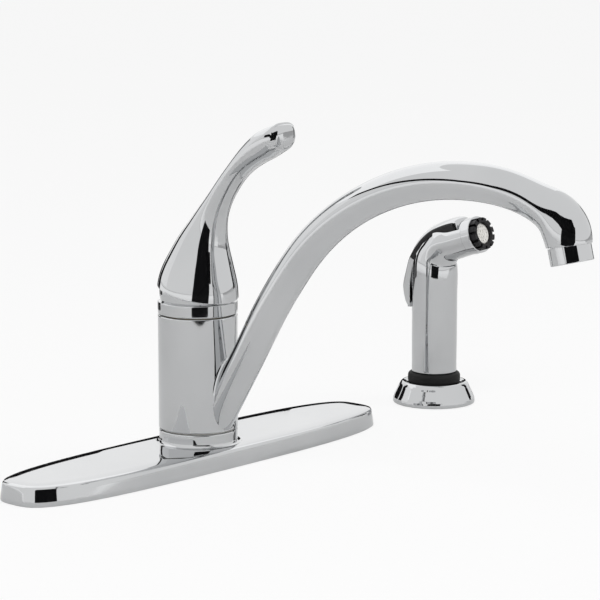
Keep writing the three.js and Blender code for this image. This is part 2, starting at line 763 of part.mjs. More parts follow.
function handle() {
  const sides = 24;
  const hood = hoodStations
    .map(([forward, height, a, b]) => [forward, height, domeRadius + a, domeRadius + b]);
  const stations = [...hood, ...leverStations]
    .map(([forward, height, a, b]) => [forward, height + pivotHeight, a, b]);
  const steps = 20;
  const frames = framesAlong(stations, steps)
    .map((frame, i) => ({ ...frame, power: 2 + tipSquareness * Math.max(0, (i / steps - 0.6) / 0.4) }));
  const tip = frames[steps];
  // The end is rounded over and then dished, as rings that step inwards: [outwards, share of the tip].
  const endRings = [
    [0.8, 0.94], [1.2, 0.85], [1.1, 0.76], [0.3, 0.6],
    [0.3 - dishDepth * 0.7, 0.3], [0.3 - dishDepth, 0.05],
  ];
  for (const [out, scale] of endRings) {
    frames.push({
      ...tip,
      centre: tip.centre.clone().addScaledVector(tip.tangent, out),
      width: tip.width * scale,
      thickness: tip.thickness * scale,
    });
  }
  const outer = sweptOval(frames, sides);
  const below = solid(new THREE.BoxGeometry(80, 80, 60).translate(0, 0, -30).rotateX(rimTilt))
    .translate([0, 0, pivotHeight]);
  const hollow = solid(new THREE.SphereGeometry(domeRadius + hoodGap, 32, 16).rotateX(Math.PI / 2))
    .translate([0, 0, pivotHeight]);
  const socket = block(
    [-stemHalfWidth - boreGap, stemHalfWidth + boreGap], [-stemHalfDepth - boreGap, stemHalfDepth + boreGap],
    [pivotHeight, pivotHeight + stemTop + boreGap]);
  const screwHole = rod(setScrewRadius + boreGap, 0, 40, 20).rotate([-90, 0, 0])
    .translate([0, 0, pivotHeight + setScrewHeight]);
  return outer.subtract(below).subtract(hollow).subtract(socket).subtract(screwHole);
}

function setScrew() {
  const start = stemHalfDepth + 0.3;
  const length = 5.5;
  return rod(setScrewRadius, start, start + length, 20)
    .subtract(rod(1.1, start + length - 2.4, start + length + 1, 6))
    .rotate([-90, 0, 0])
    .translate([0, 0, pivotHeight + setScrewHeight]);
}

const handleGroup = new THREE.Group();
handleGroup.add(
  meshOf('lever_handle', handle(), chrome),
  meshOf('handle_set_screw', setScrew(), steel),
);

// ---------------------------------------------------------------- spout and aerator

function spout() {
  const steps = 26;
  const outerFrames = framesAlong(spoutStations, steps);
  const innerFrames = outerFrames.map((f, i) => {
    const opening = Math.min(1, 0.55 + i / 8);
    const radius = (f.width - spoutWall) * opening;
    return { ...f, width: radius, thickness: radius };
  });
  const end = innerFrames[steps];
  innerFrames.push({ ...end, centre: end.centre.clone().addScaledVector(end.tangent, 2) });
  const start = innerFrames[0];
  innerFrames.unshift({ ...start, centre: start.centre.clone().addScaledVector(start.tangent, -6) });
  const hub = revolve([
    [hubBore, hubBottom], [hubRadius - 0.4, hubBottom], [hubRadius, hubBottom + 0.4],
    [hubRadius, hubTop - 0.4], [hubRadius - 0.4, hubTop], [hubBore, hubTop],
  ]);
  return hub
    .add(sweptOval(outerFrames, 20)
      .subtract(rod(hubBore + 0.8, hubBottom - 20, hubTop, 32))
      .subtract(rod(2 * hubRadius, hubBottom - 20, hubBottom, 8)))
    .subtract(sweptOval(innerFrames, 12));
}

function aeratorHousing() {
  const thread = spoutEndRadius - spoutWall - 2 * boreGap;
  return revolve([
    [aeratorBore, -aeratorHeight], [aeratorRadius - 0.6, -aeratorHeight],
    [aeratorRadius, -aeratorHeight + 0.6], [aeratorRadius, -0.9], [aeratorRadius - 0.5, -seatGap],
    [thread, -seatGap], [thread, threadLength], [aeratorBore, threadLength],
  ]);
}

function aeratorInsert() {
  let screen = rod(aeratorBore - boreGap, -aeratorHeight + 1.2, -aeratorHeight + 4.2);
  for (let i = 0; i < 8; i += 1) {
    const angle = (Math.PI * i) / 4;
    const hole = rod(1.1, -aeratorHeight, 0, 6);
    screen = screen.subtract(hole.translate([5 * Math.cos(angle), 5 * Math.sin(angle), 0]));
  }
  return screen;
}

function aeratorWasher() {
  return ring(4.5, aeratorBore - boreGap, -aeratorHeight + 4.5, -aeratorHeight + 6.3);
}

const spoutGroup = new THREE.Group();
const aeratorGroup = new THREE.Group();
aeratorGroup.position.set(0, -spoutEndForward, spoutEndHeight);
aeratorGroup.rotation.x = -outletTilt;
aeratorGroup.add(
  meshOf('aerator_housing', aeratorHousing(), chrome),
  meshOf('aerator_insert', aeratorInsert(), palePlastic),
  meshOf('aerator_washer', aeratorWasher(), rubber),
);
spoutGroup.add(meshOf('spout', spout(), chrome), aeratorGroup);

// ---------------------------------------------------------------- side spray guide

function sprayGuide() {
  const shoulderRadius = bumperRadius + 0.8;
  return revolve([
    [guideBore, -guideShankLength], [guideShankRadius, -guideShankLength],
    [guideShankRadius, gasketThickness],
    [guideRadius - 2, gasketThickness], [guideRadius - 2, seatGap], [guideRadius - 0.4, seatGap],
    [guideRadius, 1], [guideRadius - 0.1, 3.2], [guideRadius - 1.8, 6.8],
    [guideTopRadius + 0.9, guideHeight - 2.4],
    [guideTopRadius, guideHeight - 0.4], [guideTopRadius - 0.9, guideHeight + 0.6],
    [guideTopRadius - 2.1, guideHeight + 0.9], [shoulderRadius + 0.8, guideHeight + 0.5],
    [shoulderRadius, guideHeight], [guideBore, guideHeight],
  ]);
}

function bumper() {
  const spigot = guideBore - boreGap;
  const low = guideHeight + 0.1;
  return revolve([
    [couplingRadius + 2 * boreGap, low - 4], [spigot, low - 4], [spigot, low], [bumperRadius - 0.8, low],
    [bumperRadius, low + 0.9], [bumperRadius, low + bumperHeight - 1.4],
    [bumperRadius - 1.4, low + bumperHeight],
    [couplingRadius + 2 * boreGap, low + bumperHeight],
  ]);
}

function guideNut() {
  const top = -deckThickness - washerThickness;
  return rod(guideNutRadius, top - guideNutHeight, top, 6)
    .subtract(rod(guideShankRadius + boreGap, top - guideNutHeight - 1, top + 1));
}

function guideGasket() {
  return ring(guideShankRadius + boreGap, guideRadius - 2 - boreGap, 0, gasketThickness);
}

const guideGroup = new THREE.Group();
guideGroup.add(
  meshOf('spray_guide', sprayGuide(), chrome),
  meshOf('guide_bumper_ring', bumper(), rubber),
  meshOf('guide_gasket', guideGasket(), foam),
  meshOf('guide_washer', washer(guideShankRadius + boreGap, guideRadius), steel),
  meshOf('guide_nut', guideNut(), blackPlastic),
);

// ---------------------------------------------------------------- side spray wand

const wandBottom = guideHeight + 0.1 + bumperHeight + seatGap;
const gripTop = bendHeight - 8.6;
const headAlong = new THREE.Vector2(-Math.cos(headRise), Math.sin(headRise));

// A point of the plane x = 0 at a distance along the head's axis and a height above it, as [y, z].
function headPoint(along, above) {
  return [
    along * headAlong.x + above * headAlong.y,
    bendHeight + along * headAlong.y - above * headAlong.x,
  ];
}

const triggerPin = headPoint(triggerPinAlong, triggerPinAbove);

function headStation(along, radius) {
  const [y, z] = headPoint(along, 0);
  return [-y, z, radius];
}

// A point beyond the back of the grip, as [y, z].
function gripPoint(beyond, height) {
  return [gripRadius + beyond, height];
}

// The trigger's outer edge, from its lower end up the back of the grip and along the head.
const triggerBack = [
  gripPoint(-1.2, 56.2), gripPoint(0.4, 56.2), gripPoint(2.6, 58.6), gripPoint(4.4, 63), gripPoint(5.3, 67.6),
  gripPoint(5, 72.6), gripPoint(3.6, 78), gripPoint(2.1, 83.5), gripPoint(0.5, 89), gripPoint(-2.2, 95.4),
  gripPoint(-7.2, 101.4), headPoint(4.2, headRadius + 1.2), headPoint(13.9, headRadius + 2.6),
  headPoint(20, headRadius + 2.8), headPoint(27, headRadius + 2.3),
];
const triggerFront = [
  headPoint(27, 1.4), headPoint(15, 1.4), headPoint(8, 4.2), headPoint(1.3, 4.2), gripPoint(-8.4, 93.6),
  gripPoint(-6, 87.6), gripPoint(-4, 84.6), gripPoint(-2.6, 80), gripPoint(-1.2, 72), gripPoint(-1, 64),
];
const slotFloor = [
  headPoint(40, 0.4), headPoint(15, 0.4), headPoint(7.4, 2.4), headPoint(0.9, 1), gripPoint(-10.2, 91.2),
  gripPoint(-8.4, 85), gripPoint(-6.8, 78), gripPoint(-6, 70), gripPoint(-5.8, 60), gripPoint(-6.4, 49.6),
];

function wandShell() {
  const stations = [
    [0, wandBottom, gripRadius - 0.5], [0, wandBottom + 1, gripRadius], [0, 34, gripRadius],
    [0, 52, gripRadius], [0, 68, gripRadius], [0, gripTop - 6, gripRadius],
    [0.4, gripTop + 1, gripRadius - 0.5], [3.2, gripTop + 6, gripRadius - 1.2],
    headStation(8.6, gripRadius - 1.6), headStation(15, gripRadius - 2.3),
    headStation(22, gripRadius - 2.7), headStation(headShell, headRadius),
  ];
  const outer = sweptOval(framesAlong(stations, 22), 24);
  const half = triggerHalfWidth + triggerSlotGap;
  const slot = slab([...slotFloor, [40, 49.6], [40, 140], [-60, 140]], half);
  const keepNose = slab([
    headPoint(headShell - 0.9, -20), headPoint(headShell - 0.9, 20), headPoint(headShell + 20, 20),
    headPoint(headShell + 20, -20)], 20);
  const pinHole = rod(triggerPinRadius + boreGap / 2, -20, 20, 16).rotate([0, 90, 0])
    .translate([0, ...triggerPin]);
  const inlet = rod(3.4, 0, poppetHeight, 20).translate([0, -4.2, 0]);
  const poppetBore = rod(poppetRadius + boreGap, -3, 20, 16);
  const inletChamber = rod(3.6, -10.6, -1.2, 20);
  const outletChamber = rod(2.8, -2, 4.6, 20);
  const poppetCavity = poppetBore.add(inletChamber).add(outletChamber)
    .rotate([-90, 0, 0]).translate([0, 0, poppetHeight]);
  const channel = tubeAlong([
    [0, 2.8, poppetHeight], [0, 1.4, 86], [0, ...headPoint(6, -5)], [0, ...headPoint(18, -4.8)],
    [0, ...headPoint(34, -3)]], 2, 12, 8);
  return outer
    .subtract(slot.subtract(keepNose))
    .subtract(rod(couplingRadius + boreGap, 0, wandBottom + couplingDepth, 32))
    .subtract(inlet)
    .subtract(poppetCavity)
    .subtract(channel)
    .subtract(pinHole);
}

function trigger() {
  const outline = [...triggerBack, ...triggerFront];
  const pinHole = rod(triggerPinRadius + boreGap / 2, -20, 20, 16).rotate([0, 90, 0])
    .translate([0, ...triggerPin]);
  return slab(outline, triggerHalfWidth, 0.9).subtract(pinHole);
}

function triggerPivot() {
  const half = triggerHalfWidth + 1.3;
  return rod(triggerPinRadius, -half, half, 16).rotate([0, 90, 0]).translate([0, ...triggerPin]);
}

function poppet() {
  const end = gripRadius - 4.1;
  return revolve([
    [0, -3], [3.2, -3], [3.2, -1.5], [poppetRadius, -1.5], [poppetRadius, end - 0.9],
    [2, end - 0.9], [2, end], [0, end],
  ], 20).rotate([-90, 0, 0]).translate([0, 0, poppetHeight]);
}

function poppetSpring() {
  const seat = -10.45;
  return spring(2.4, 0.28, -3.15 - seat, 4).translate([0, 0, seat])
    .rotate([-90, 0, 0]).translate([0, 0, poppetHeight]);
}

function hoseCoupling() {
  const top = wandBottom + couplingDepth - 0.8;
  return revolve([
    [3.2, guideHeight - 16], [6, guideHeight - 16], [6, guideHeight - 6], [couplingRadius, guideHeight - 4],
    [couplingRadius, top], [3.2, top],
  ]);
}

// Pieces of the nozzle are made about the head's own axis, with +Z out of the nose.
function noseCollar() {
  const low = headShell + 0.1;
  const high = low + noseCollarLength;
  return revolve([
    [nozzleFaceRadius + 1, low], [noseCollarRadius - 0.3, low], [noseCollarRadius, low + 0.5],
    [noseCollarRadius, high - 0.7], [noseCollarRadius - 0.7, high], [nozzleFaceRadius + 1, high],
  ]);
}

function nozzleRing() {
  const low = headShell + 0.2 + noseCollarLength;
  const high = low + nozzleRingLength;
  let piece = revolve([
    [nozzleFaceRadius + boreGap, low], [nozzleRingRadius, low], [nozzleRingRadius, high - 0.8],
    [nozzleRingRadius - 0.8, high], [nozzleFaceRadius + boreGap, high],
  ]);
  for (let i = 0; i < nozzleNotches; i += 1) {
    const notch = block([nozzleRingRadius - 1.1, nozzleRingRadius + 2], [-0.55, 0.55], [low + 0.7, high + 1]);
    piece = piece.subtract(notch.rotate([0, 0, (360 * (i + 0.5)) / nozzleNotches]));
  }
  return piece;
}

function sprayFace() {
  const low = headShell + 1;
  const high = headShell + noseCollarLength + 1.9;
  let face = rod(nozzleFaceRadius, low, high);
  for (let i = 0; i < 8; i += 1) {
    const angle = (Math.PI * i) / 4;
    const jet = rod(0.5, low - 1, high + 1, 6);
    face = face.subtract(jet.translate([4 * Math.cos(angle), 4 * Math.sin(angle), 0]));
  }
  return face;
}

const wandGroup = new THREE.Group();
const nozzleGroup = new THREE.Group();
nozzleGroup.position.z = bendHeight;
nozzleGroup.rotation.x = Math.PI / 2 - headRise;
nozzleGroup.add(
  meshOf('nose_collar', noseCollar(), chrome),
  meshOf('nozzle_ring', nozzleRing(), blackPlastic),
  meshOf('spray_face', sprayFace(), palePlastic),
);
wandGroup.add(
  meshOf('wand_shell', wandShell(), chrome),
  meshOf('spray_trigger', trigger(), chrome),
  meshOf('trigger_pin', triggerPivot(), steel),
  meshOf('spray_poppet', poppet(), brass),
  meshOf('poppet_spring', poppetSpring(), steel),
  meshOf('hose_coupling', hoseCoupling(), blackPlastic),
  nozzleGroup,
);

const sprayGroup = new THREE.Group();
sprayGroup.position.x = sprayX;
sprayGroup.add(guideGroup, wandGroup);

// ---------------------------------------------------------------- the whole faucet

const faucet = new THREE.Group();
faucet.add(deckGroup, valveGroup, cartridgeGroup, handleGroup, spoutGroup, sprayGroup);

export default faucet;
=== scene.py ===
# %% [markdown]
# # A chrome kitchen faucet with a side spray
# The engineering model of this faucet is already made: 53 separate parts with real sizes, each on the
# body that carries it. This lesson keeps that model as a fixed frame and builds the surfaces that are
# seen, in finer form and with real finishes. Polished plate shows every facet and every dent in a
# reflection, so the shapes have to be smooth first, and only then is the finish worth making.

import json
import math

import bmesh
import bpy
import numpy as np
from mathutils import Matrix, Vector

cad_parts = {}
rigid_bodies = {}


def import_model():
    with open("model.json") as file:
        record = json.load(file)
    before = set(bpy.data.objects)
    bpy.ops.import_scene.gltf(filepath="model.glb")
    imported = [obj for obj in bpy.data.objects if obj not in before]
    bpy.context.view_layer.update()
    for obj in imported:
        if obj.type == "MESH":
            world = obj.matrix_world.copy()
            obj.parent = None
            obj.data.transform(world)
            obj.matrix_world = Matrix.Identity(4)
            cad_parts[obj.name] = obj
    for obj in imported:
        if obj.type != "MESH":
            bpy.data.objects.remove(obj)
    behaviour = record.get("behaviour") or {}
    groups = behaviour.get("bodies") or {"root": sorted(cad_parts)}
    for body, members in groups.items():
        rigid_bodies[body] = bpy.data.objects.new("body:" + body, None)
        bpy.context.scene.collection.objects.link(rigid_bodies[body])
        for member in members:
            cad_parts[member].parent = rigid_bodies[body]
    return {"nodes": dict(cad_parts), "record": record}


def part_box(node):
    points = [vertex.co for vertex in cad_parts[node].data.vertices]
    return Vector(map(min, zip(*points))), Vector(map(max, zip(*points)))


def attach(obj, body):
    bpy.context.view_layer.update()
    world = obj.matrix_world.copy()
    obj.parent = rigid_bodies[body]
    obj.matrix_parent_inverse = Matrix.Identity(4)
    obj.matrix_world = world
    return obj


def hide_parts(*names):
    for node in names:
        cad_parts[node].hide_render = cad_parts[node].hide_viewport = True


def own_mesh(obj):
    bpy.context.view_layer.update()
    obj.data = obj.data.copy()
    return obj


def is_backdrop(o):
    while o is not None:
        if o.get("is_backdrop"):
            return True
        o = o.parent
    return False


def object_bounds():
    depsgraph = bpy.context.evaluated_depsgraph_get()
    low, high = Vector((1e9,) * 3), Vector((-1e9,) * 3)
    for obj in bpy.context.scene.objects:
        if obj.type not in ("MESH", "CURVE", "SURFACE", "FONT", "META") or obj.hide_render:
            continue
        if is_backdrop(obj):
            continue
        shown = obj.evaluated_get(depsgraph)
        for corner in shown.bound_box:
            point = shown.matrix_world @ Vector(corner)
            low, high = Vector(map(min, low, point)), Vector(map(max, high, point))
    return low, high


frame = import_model()
NODES = frame["nodes"]
CAD_BOX = [list(corner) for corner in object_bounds()]
MM = 0.001
print("box in mm", [[round(value / MM, 1) for value in corner] for corner in CAD_BOX])

# %% [markdown]
# ## The camera
# The picture of the faucet was taken with a long lens from the front left, a little above the deck. A
# camera can be placed by hand and nudged until things line up, but it is easier to say where it stands
# on a sphere round the faucet, and then how far it is turned away from the middle. A lens of about
# 150 mm keeps the verticals nearly parallel.

# %% Place the camera
CAMERA_AZIMUTH, CAMERA_ELEVATION, CAMERA_DISTANCE = -46.03, 13.18, 1371.35
CAMERA_TURN, CAMERA_TIP = -2.35, -3.59
FOCAL_PIXELS, PICTURE_PIXELS, SENSOR_WIDTH = 2530.16, 600, 36


def outwards(azimuth, elevation=0.0):
    """A unit direction from two angles in degrees. Azimuth 0 is in front, -90 left and 90 right."""
    a, e = math.radians(azimuth), math.radians(elevation)
    return Vector((math.sin(a) * math.cos(e), -math.cos(a) * math.cos(e), math.sin(e)))


def add_object(name, data):
    thing = bpy.data.objects.new(name, data)
    bpy.context.scene.collection.objects.link(thing)
    return thing


def place_camera():
    place = outwards(CAMERA_AZIMUTH, CAMERA_ELEVATION) * CAMERA_DISTANCE * MM
    back = outwards(CAMERA_AZIMUTH + CAMERA_TURN, CAMERA_ELEVATION + CAMERA_TIP)
    right = outwards(CAMERA_AZIMUTH + CAMERA_TURN + 90)
    turned = Matrix((right, back.cross(right), back)).transposed()
    camera = add_object("camera", bpy.data.cameras.new("camera"))
    camera.data.sensor_width = SENSOR_WIDTH
    camera.data.lens = SENSOR_WIDTH * FOCAL_PIXELS / PICTURE_PIXELS
    camera.data.clip_start, camera.data.clip_end = 0.05, 20
    camera.matrix_world = Matrix.Translation(place) @ turned.to_4x4()
    bpy.context.scene.camera = camera
    return camera


camera = place_camera()
print("camera at", [round(v, 3) for v in camera.matrix_world.translation], "lens", round(camera.data.lens, 1))

# %% [markdown]
# ## Helpers for nodes
# Materials, the world and the geometry trees are all nets of nodes. One helper makes a node and fills
# its inputs with values or links, so each net reads from its first node to its last.

# %% Helpers for nodes
def feed(tree, node, inputs):
    """Fills inputs by name or number: an output socket is linked, and anything else is set as a value."""
    for socket, value in inputs.items():
        if isinstance(value, bpy.types.NodeSocket):
            tree.links.new(value, node.inputs[socket])
        else:
            node.inputs[socket].default_value = value


def add(tree, kind, inputs=None, **settings):
    node = tree.nodes.new(kind)
    for name, value in settings.items():
        setattr(node, name, value)
    feed(tree, node, inputs or {})
    return node


def maths(tree, operation, *values):
    return add(tree, "ShaderNodeMath", dict(enumerate(values)), operation=operation).outputs["Value"]


def tones(tree, share, dark, light, ends=(0.0, 1.0)):
    """A colour that runs from dark to light as the share goes from one end to the other."""
    node = add(tree, "ShaderNodeValToRGB", {"Fac": share})
    for stop, position, colour in zip(node.color_ramp.elements, ends, (dark, light)):
        stop.position, stop.color = position, (*colour, 1)
    return node.outputs["Color"]


def named_material(name, inputs):
    """A material, its tree and its shader, with these inputs of the shader set."""
    material = bpy.data.materials.new(name)
    material.use_nodes = True
    shader = material.node_tree.nodes["Principled BSDF"]
    feed(material.node_tree, shader, inputs)
    return material, material.node_tree, shader


print("node helpers ready")

# %% [markdown]
# ## Floor, light and flags
# Chrome has no colour of its own: it shows the room. A product photographer puts it in a white tent,
# which makes it disappear, and then sets black cards, called flags, just outside the picture to draw
# dark lines down its edges. Here the tent is a white world, the floor is a pale sheet, two soft lamps
# give the shadow, and the flags are black cards that only reflections can see.

# %% Floor and world
FLOOR_SIZE = 60.0
PAPER_SEEN, PAPER_MIRRORED = 0.85, 0.04  # how much plain white paper the camera and a mirror see in the floor
ROOM_LIGHT = 0.55  # the white room's strength as light; what looks at it sees 1, plain white


def pale_floor():
    material, tree, sheet = named_material("pale_floor", {"Roughness": 0.9, "Specular IOR Level": 0.1})
    place = add(tree, "ShaderNodeTexCoord").outputs["Object"]
    cloud = add(tree, "ShaderNodeTexNoise", {"Vector": place, "Scale": 3.0}).outputs["Fac"]
    feed(tree, sheet, {"Base Color": tones(tree, cloud, [0.86] * 3, [0.9] * 3)})
    ray = add(tree, "ShaderNodeLightPath").outputs
    seen = maths(tree, "MULTIPLY", ray["Is Camera Ray"], PAPER_SEEN)
    seen = maths(tree, "MULTIPLY_ADD", ray["Is Glossy Ray"], PAPER_MIRRORED, seen)
    paper = add(tree, "ShaderNodeEmission").outputs["Emission"]
    mixed = add(tree, "ShaderNodeMixShader", {0: seen, 1: sheet.outputs["BSDF"], 2: paper})
    feed(tree, tree.nodes["Material Output"], {"Surface": mixed.outputs["Shader"]})
    return material


def stage_card(name, corners, material):
    mesh = bpy.data.meshes.new(name)
    mesh.from_pydata([tuple(c) for c in corners], [], [(0, 1, 2, 3)])
    mesh.materials.append(material)
    card = add_object(name, mesh)
    card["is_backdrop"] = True
    return card


def white_room():
    world = bpy.data.worlds.new("white_room")
    world.use_nodes = True
    tree = world.node_tree
    ray = add(tree, "ShaderNodeLightPath").outputs
    seen = maths(tree, "MAXIMUM", ray["Is Camera Ray"], ray["Is Glossy Ray"])
    seen = maths(tree, "MAXIMUM", seen, ray["Is Transmission Ray"])
    level = add(tree, "ShaderNodeMapRange", {"Value": seen, "To Min": ROOM_LIGHT, "To Max": 1.0})
    feed(tree, tree.nodes["Background"], {"Color": (1, 1, 1, 1), "Strength": level.outputs["Result"]})
    return world


half = FLOOR_SIZE / 2
corners = [(-half, -half, 0), (half, -half, 0), (half, half, 0), (-half, half, 0)]
stage_card("floor", corners, pale_floor())
bpy.context.scene.world = white_room()
bpy.context.scene.view_settings.view_transform = "Standard"
print("floor", FLOOR_SIZE, "m, white world")

# %% Lamps
LAMP_TARGET = Vector((0.03, -0.1, 0.06))


def soft_lamp(name, place, size, power):
    lamp = bpy.data.lights.new(name, "AREA")
    lamp.shape, lamp.size, lamp.energy = "DISK", size, power
    thing = add_object(name, lamp)
    thing.location = place
    thing.rotation_mode = "QUATERNION"
    thing.rotation_quaternion = (LAMP_TARGET - Vector(place)).to_track_quat("-Z", "Y")
    thing.visible_glossy = False


soft_lamp("key_lamp", (-1.1, -0.6, 1.6), 1.2, 14)
soft_lamp("fill_lamp", (1.2, -1.2, 1.3), 1.4, 8)
print("two soft lamps")

# %% [markdown]
# A flag can stand anywhere that a reflection looks, so its place is worked out backwards: from the
# camera to the spot that should be dark, off the surface there, and on to where a card can stand. The
# low cards draw the bars on the body and the plate's end. The ribbon beside the spout draws the line
# that runs along it and opens into the wedge over the aerator. Soft boxes behind give the bright bands.

# %% Flags and soft boxes
FLAG_BLACK = named_material("flag_black", {
    "Base Color": (0.012, 0.012, 0.013, 1), "Roughness": 0.95, "Specular IOR Level": 0.0})[0]


def mirror_card(name, corners, material):
    """A card that only reflections see."""
    card = stage_card(name, corners, material)
    card.visible_camera = card.visible_diffuse = card.visible_shadow = False


def flag(name, azimuths, low, high, material=FLAG_BLACK, upper_azimuths=None):
    """A card round the body's axis. low and high are (distance, height) of its two edges in mm."""
    around = (*azimuths, *(upper_azimuths or azimuths)[::-1])
    corners = [(outwards(azimuth) * distance + Vector((0, 0, height))) * MM
               for azimuth, (distance, height) in zip(around, (low, low, high, high))]
    mirror_card(name, corners, material)


def soft_box(name, strength):
    return named_material(name, {"Base Color": (0.02, 0.02, 0.02, 1), "Emission Color": (1, 1, 1, 1),
                                 "Emission Strength": strength})[0]


BOX_DISTANCE, BOX_LOW, BOX_MIDDLE, BOX_HIGH = 760, 112, 420, 1000
soft_low, soft_high = soft_box("soft_box_low", 1.08), soft_box("soft_box_high", 1.32)
for name, azimuths in (("soft_box_back", (97, 150)), ("soft_box_back_left", (150, 215))):
    flag(name, azimuths, (BOX_DISTANCE, BOX_LOW), (BOX_DISTANCE, BOX_MIDDLE), soft_low)
    flag(name + "_high", azimuths, (BOX_DISTANCE, BOX_MIDDLE), (BOX_DISTANCE, BOX_HIGH), soft_high)
flag("soft_box_top", (-135, 45), (1100, BOX_HIGH), (-1100, BOX_HIGH), soft_high)

# A ring of white sheets on the far floor, a little brighter outwards, lifts what the spout mirrors.
SHEET_HEIGHT = 0.4
for k, (near, far, strength) in enumerate(((650, 850, 0.87), (850, 1150, 0.92), (1150, 8000, 0.98))):
    name = f"far_sheet_{k}"
    sheet = soft_box(name, strength)
    for azimuth in range(-180, 30, 30):
        edges = (near, SHEET_HEIGHT), (far, SHEET_HEIGHT)
        flag(f"{name}_{azimuth + 180}", (azimuth, azimuth + 30), *edges, sheet)

flag("flag_by_camera", (-63.5, -17), (484, 1), (745, 385), upper_azimuths=(-54, -8))
for k, (azimuths, top) in enumerate((((106, 126), 82), ((126, 143), 96), ((143, 160), 118))):
    flag(f"flag_horizon_{k}", azimuths, (480, 1), (480, top))
flag("flag_back", (164, 180), (485, 1), (485, 320))
flag("flag_right", (76, 86), (690, 60), (690, 330))

RIBBON = [  # x, y, z of its middle, half height
    (-45, -28, 185, 5), (-70, -63, 186, 6), (-82, -95, 178, 7), (-88, -123, 170, 8), (-91, -150, 174, 9),
    (-94, -182, 192, 12), (-97, -215, 207, 20), (-102, -247, 216, 33), (-112, -275, 214, 44),
    (-94, -310, 213, 43), (-64, -336, 212, 41), (-34, -350, 210, 38),
]
for k, ends in enumerate(zip(RIBBON, RIBBON[1:])):
    (x0, y0, z0, half0), (x1, y1, z1, half1) = ends
    corners = ((x0, y0, z0 - half0), (x1, y1, z1 - half1), (x1, y1, z1 + half1), (x0, y0, z0 + half0))
    mirror_card(f"flag_along_spout_{k}", [Vector(corner) * MM for corner in corners], FLAG_BLACK)
cards = [thing for thing in bpy.data.objects if thing.name.startswith(("flag", "soft", "far"))]
print(len(cards), "cards for the reflections")

# %% [markdown]
# ## Finishes
# Each finish is a small net of nodes on the piece's own coordinates, so the pattern stays on the piece
# when it moves. Chrome gets a polish that is not quite even and very faint wipe marks; bare brass and
# copper get drawing lines and a little tarnish; plastics and rubber get a fine moulded grain. The scale
# of each pattern is the real one: a wipe mark is a few centimetres long and a grain a third of a
# millimetre.

# %% Finishes
PATCH_ENDS = 0.3, 0.7  # the part of the slow noise that carries the change
METAL, NOT_METAL, MATT_BLACK = (1, 0.5), (0, 0.5), (0, 0.22)  # metallic and specular level


def finish(name, kind, dark, light, rough, patch, grain, grain_height, stretch=(1, 1, 1), coat=0.0):
    """dark and light: the colour's range; rough: lowest and highest roughness; patch and grain: the
    sizes in metres of the slow and the fine pattern; stretch: how the fine pattern is drawn out."""
    material, tree, face = named_material(name, {
        "Metallic": kind[0], "Specular IOR Level": kind[1], "Coat Weight": coat})
    place = add(tree, "ShaderNodeTexCoord").outputs["Object"]
    slow = add(tree, "ShaderNodeTexNoise", {"Vector": place, "Scale": 1 / patch, "Detail": 3}).outputs["Fac"]
    polish = add(tree, "ShaderNodeMapRange", {
        "Value": slow, "From Min": PATCH_ENDS[0], "From Max": PATCH_ENDS[1],
        "To Min": rough[0], "To Max": rough[1]})
    drawn = add(tree, "ShaderNodeMapping", {"Vector": place, "Scale": stretch}).outputs["Vector"]
    fine = add(tree, "ShaderNodeTexNoise", {"Vector": drawn, "Scale": 1 / grain, "Detail": 2}).outputs["Fac"]
    bump = add(tree, "ShaderNodeBump", {"Height": fine, "Distance": grain_height, "Strength": 1.0})
    feed(tree, face, {"Base Color": tones(tree, slow, dark, light, PATCH_ENDS),
                      "Roughness": polish.outputs["Result"], "Normal": bump.outputs["Normal"]})
    return material


FINISHES = {
    "chrome": finish("polished_chrome", METAL, (0.535, 0.543, 0.551), (0.572, 0.579, 0.586), (0.02, 0.045),
                     0.045, 0.006, 0.0000012),
    "brass": finish("turned_brass", METAL, (0.6, 0.45, 0.2), (0.74, 0.58, 0.3), (0.24, 0.4),
                    0.012, 0.0008, 0.00002, stretch=(0.15, 0.15, 3)),
    "copper": finish("drawn_copper", METAL, (0.55, 0.27, 0.16), (0.78, 0.45, 0.3), (0.22, 0.42),
                     0.015, 0.0006, 0.00001, stretch=(4, 4, 0.1)),
    "steel": finish("turned_steel", METAL, (0.48, 0.48, 0.49), (0.62, 0.62, 0.63), (0.22, 0.36),
                    0.01, 0.0005, 0.00001, stretch=(0.3, 0.3, 3)),
    "black_plastic": finish("black_moulding_and_painted_shade", MATT_BLACK, (0.009, 0.009, 0.01), (0.016, 0.016, 0.017),
                            (0.32, 0.5), 0.02, 0.00035, 0.00002),
    "pale_plastic": finish("pale_moulding", NOT_METAL, (0.76, 0.75, 0.71), (0.82, 0.81, 0.78), (0.36, 0.5),
                           0.02, 0.00035, 0.00002),
    "rubber": finish("soft_rubber", MATT_BLACK, (0.006, 0.006, 0.006), (0.014, 0.014, 0.014), (0.55, 0.75),
                     0.01, 0.0003, 0.00003),
    "foam": finish("closed_foam", MATT_BLACK, (0.016, 0.016, 0.018), (0.05, 0.05, 0.055), (0.85, 0.98),
                   0.002, 0.0006, 0.00015),
    "ceramic": finish("lapped_ceramic", NOT_METAL, (0.78, 0.76, 0.72), (0.86, 0.85, 0.82), (0.12, 0.22),
                      0.01, 0.0004, 0.000004, coat=0.3),
}
SLOT_OF = {part["node"]: part["material_slot"] for part in frame["record"]["subparts"]}
for node, slot in SLOT_OF.items():
    NODES[node].data.materials.clear()
    NODES[node].data.materials.append(FINISHES[slot])
print({slot: list(SLOT_OF.values()).count(slot) for slot in FINISHES})

# %% [markdown]
# ## How the polished pieces are made
# A bright piece needs many small faces in even rows, because a reflection runs along the rows. So each
# one is a skin over rings of points: a turned piece is one profile carried round an axis, and a cast
# piece is a ring that changes as it travels along a centre line. A smooth curve through a few measured
# stations keeps its bend even, where straight steps would show as kinks in the reflection.

# %% Skins and solids
WELD = 1e-7  # metres


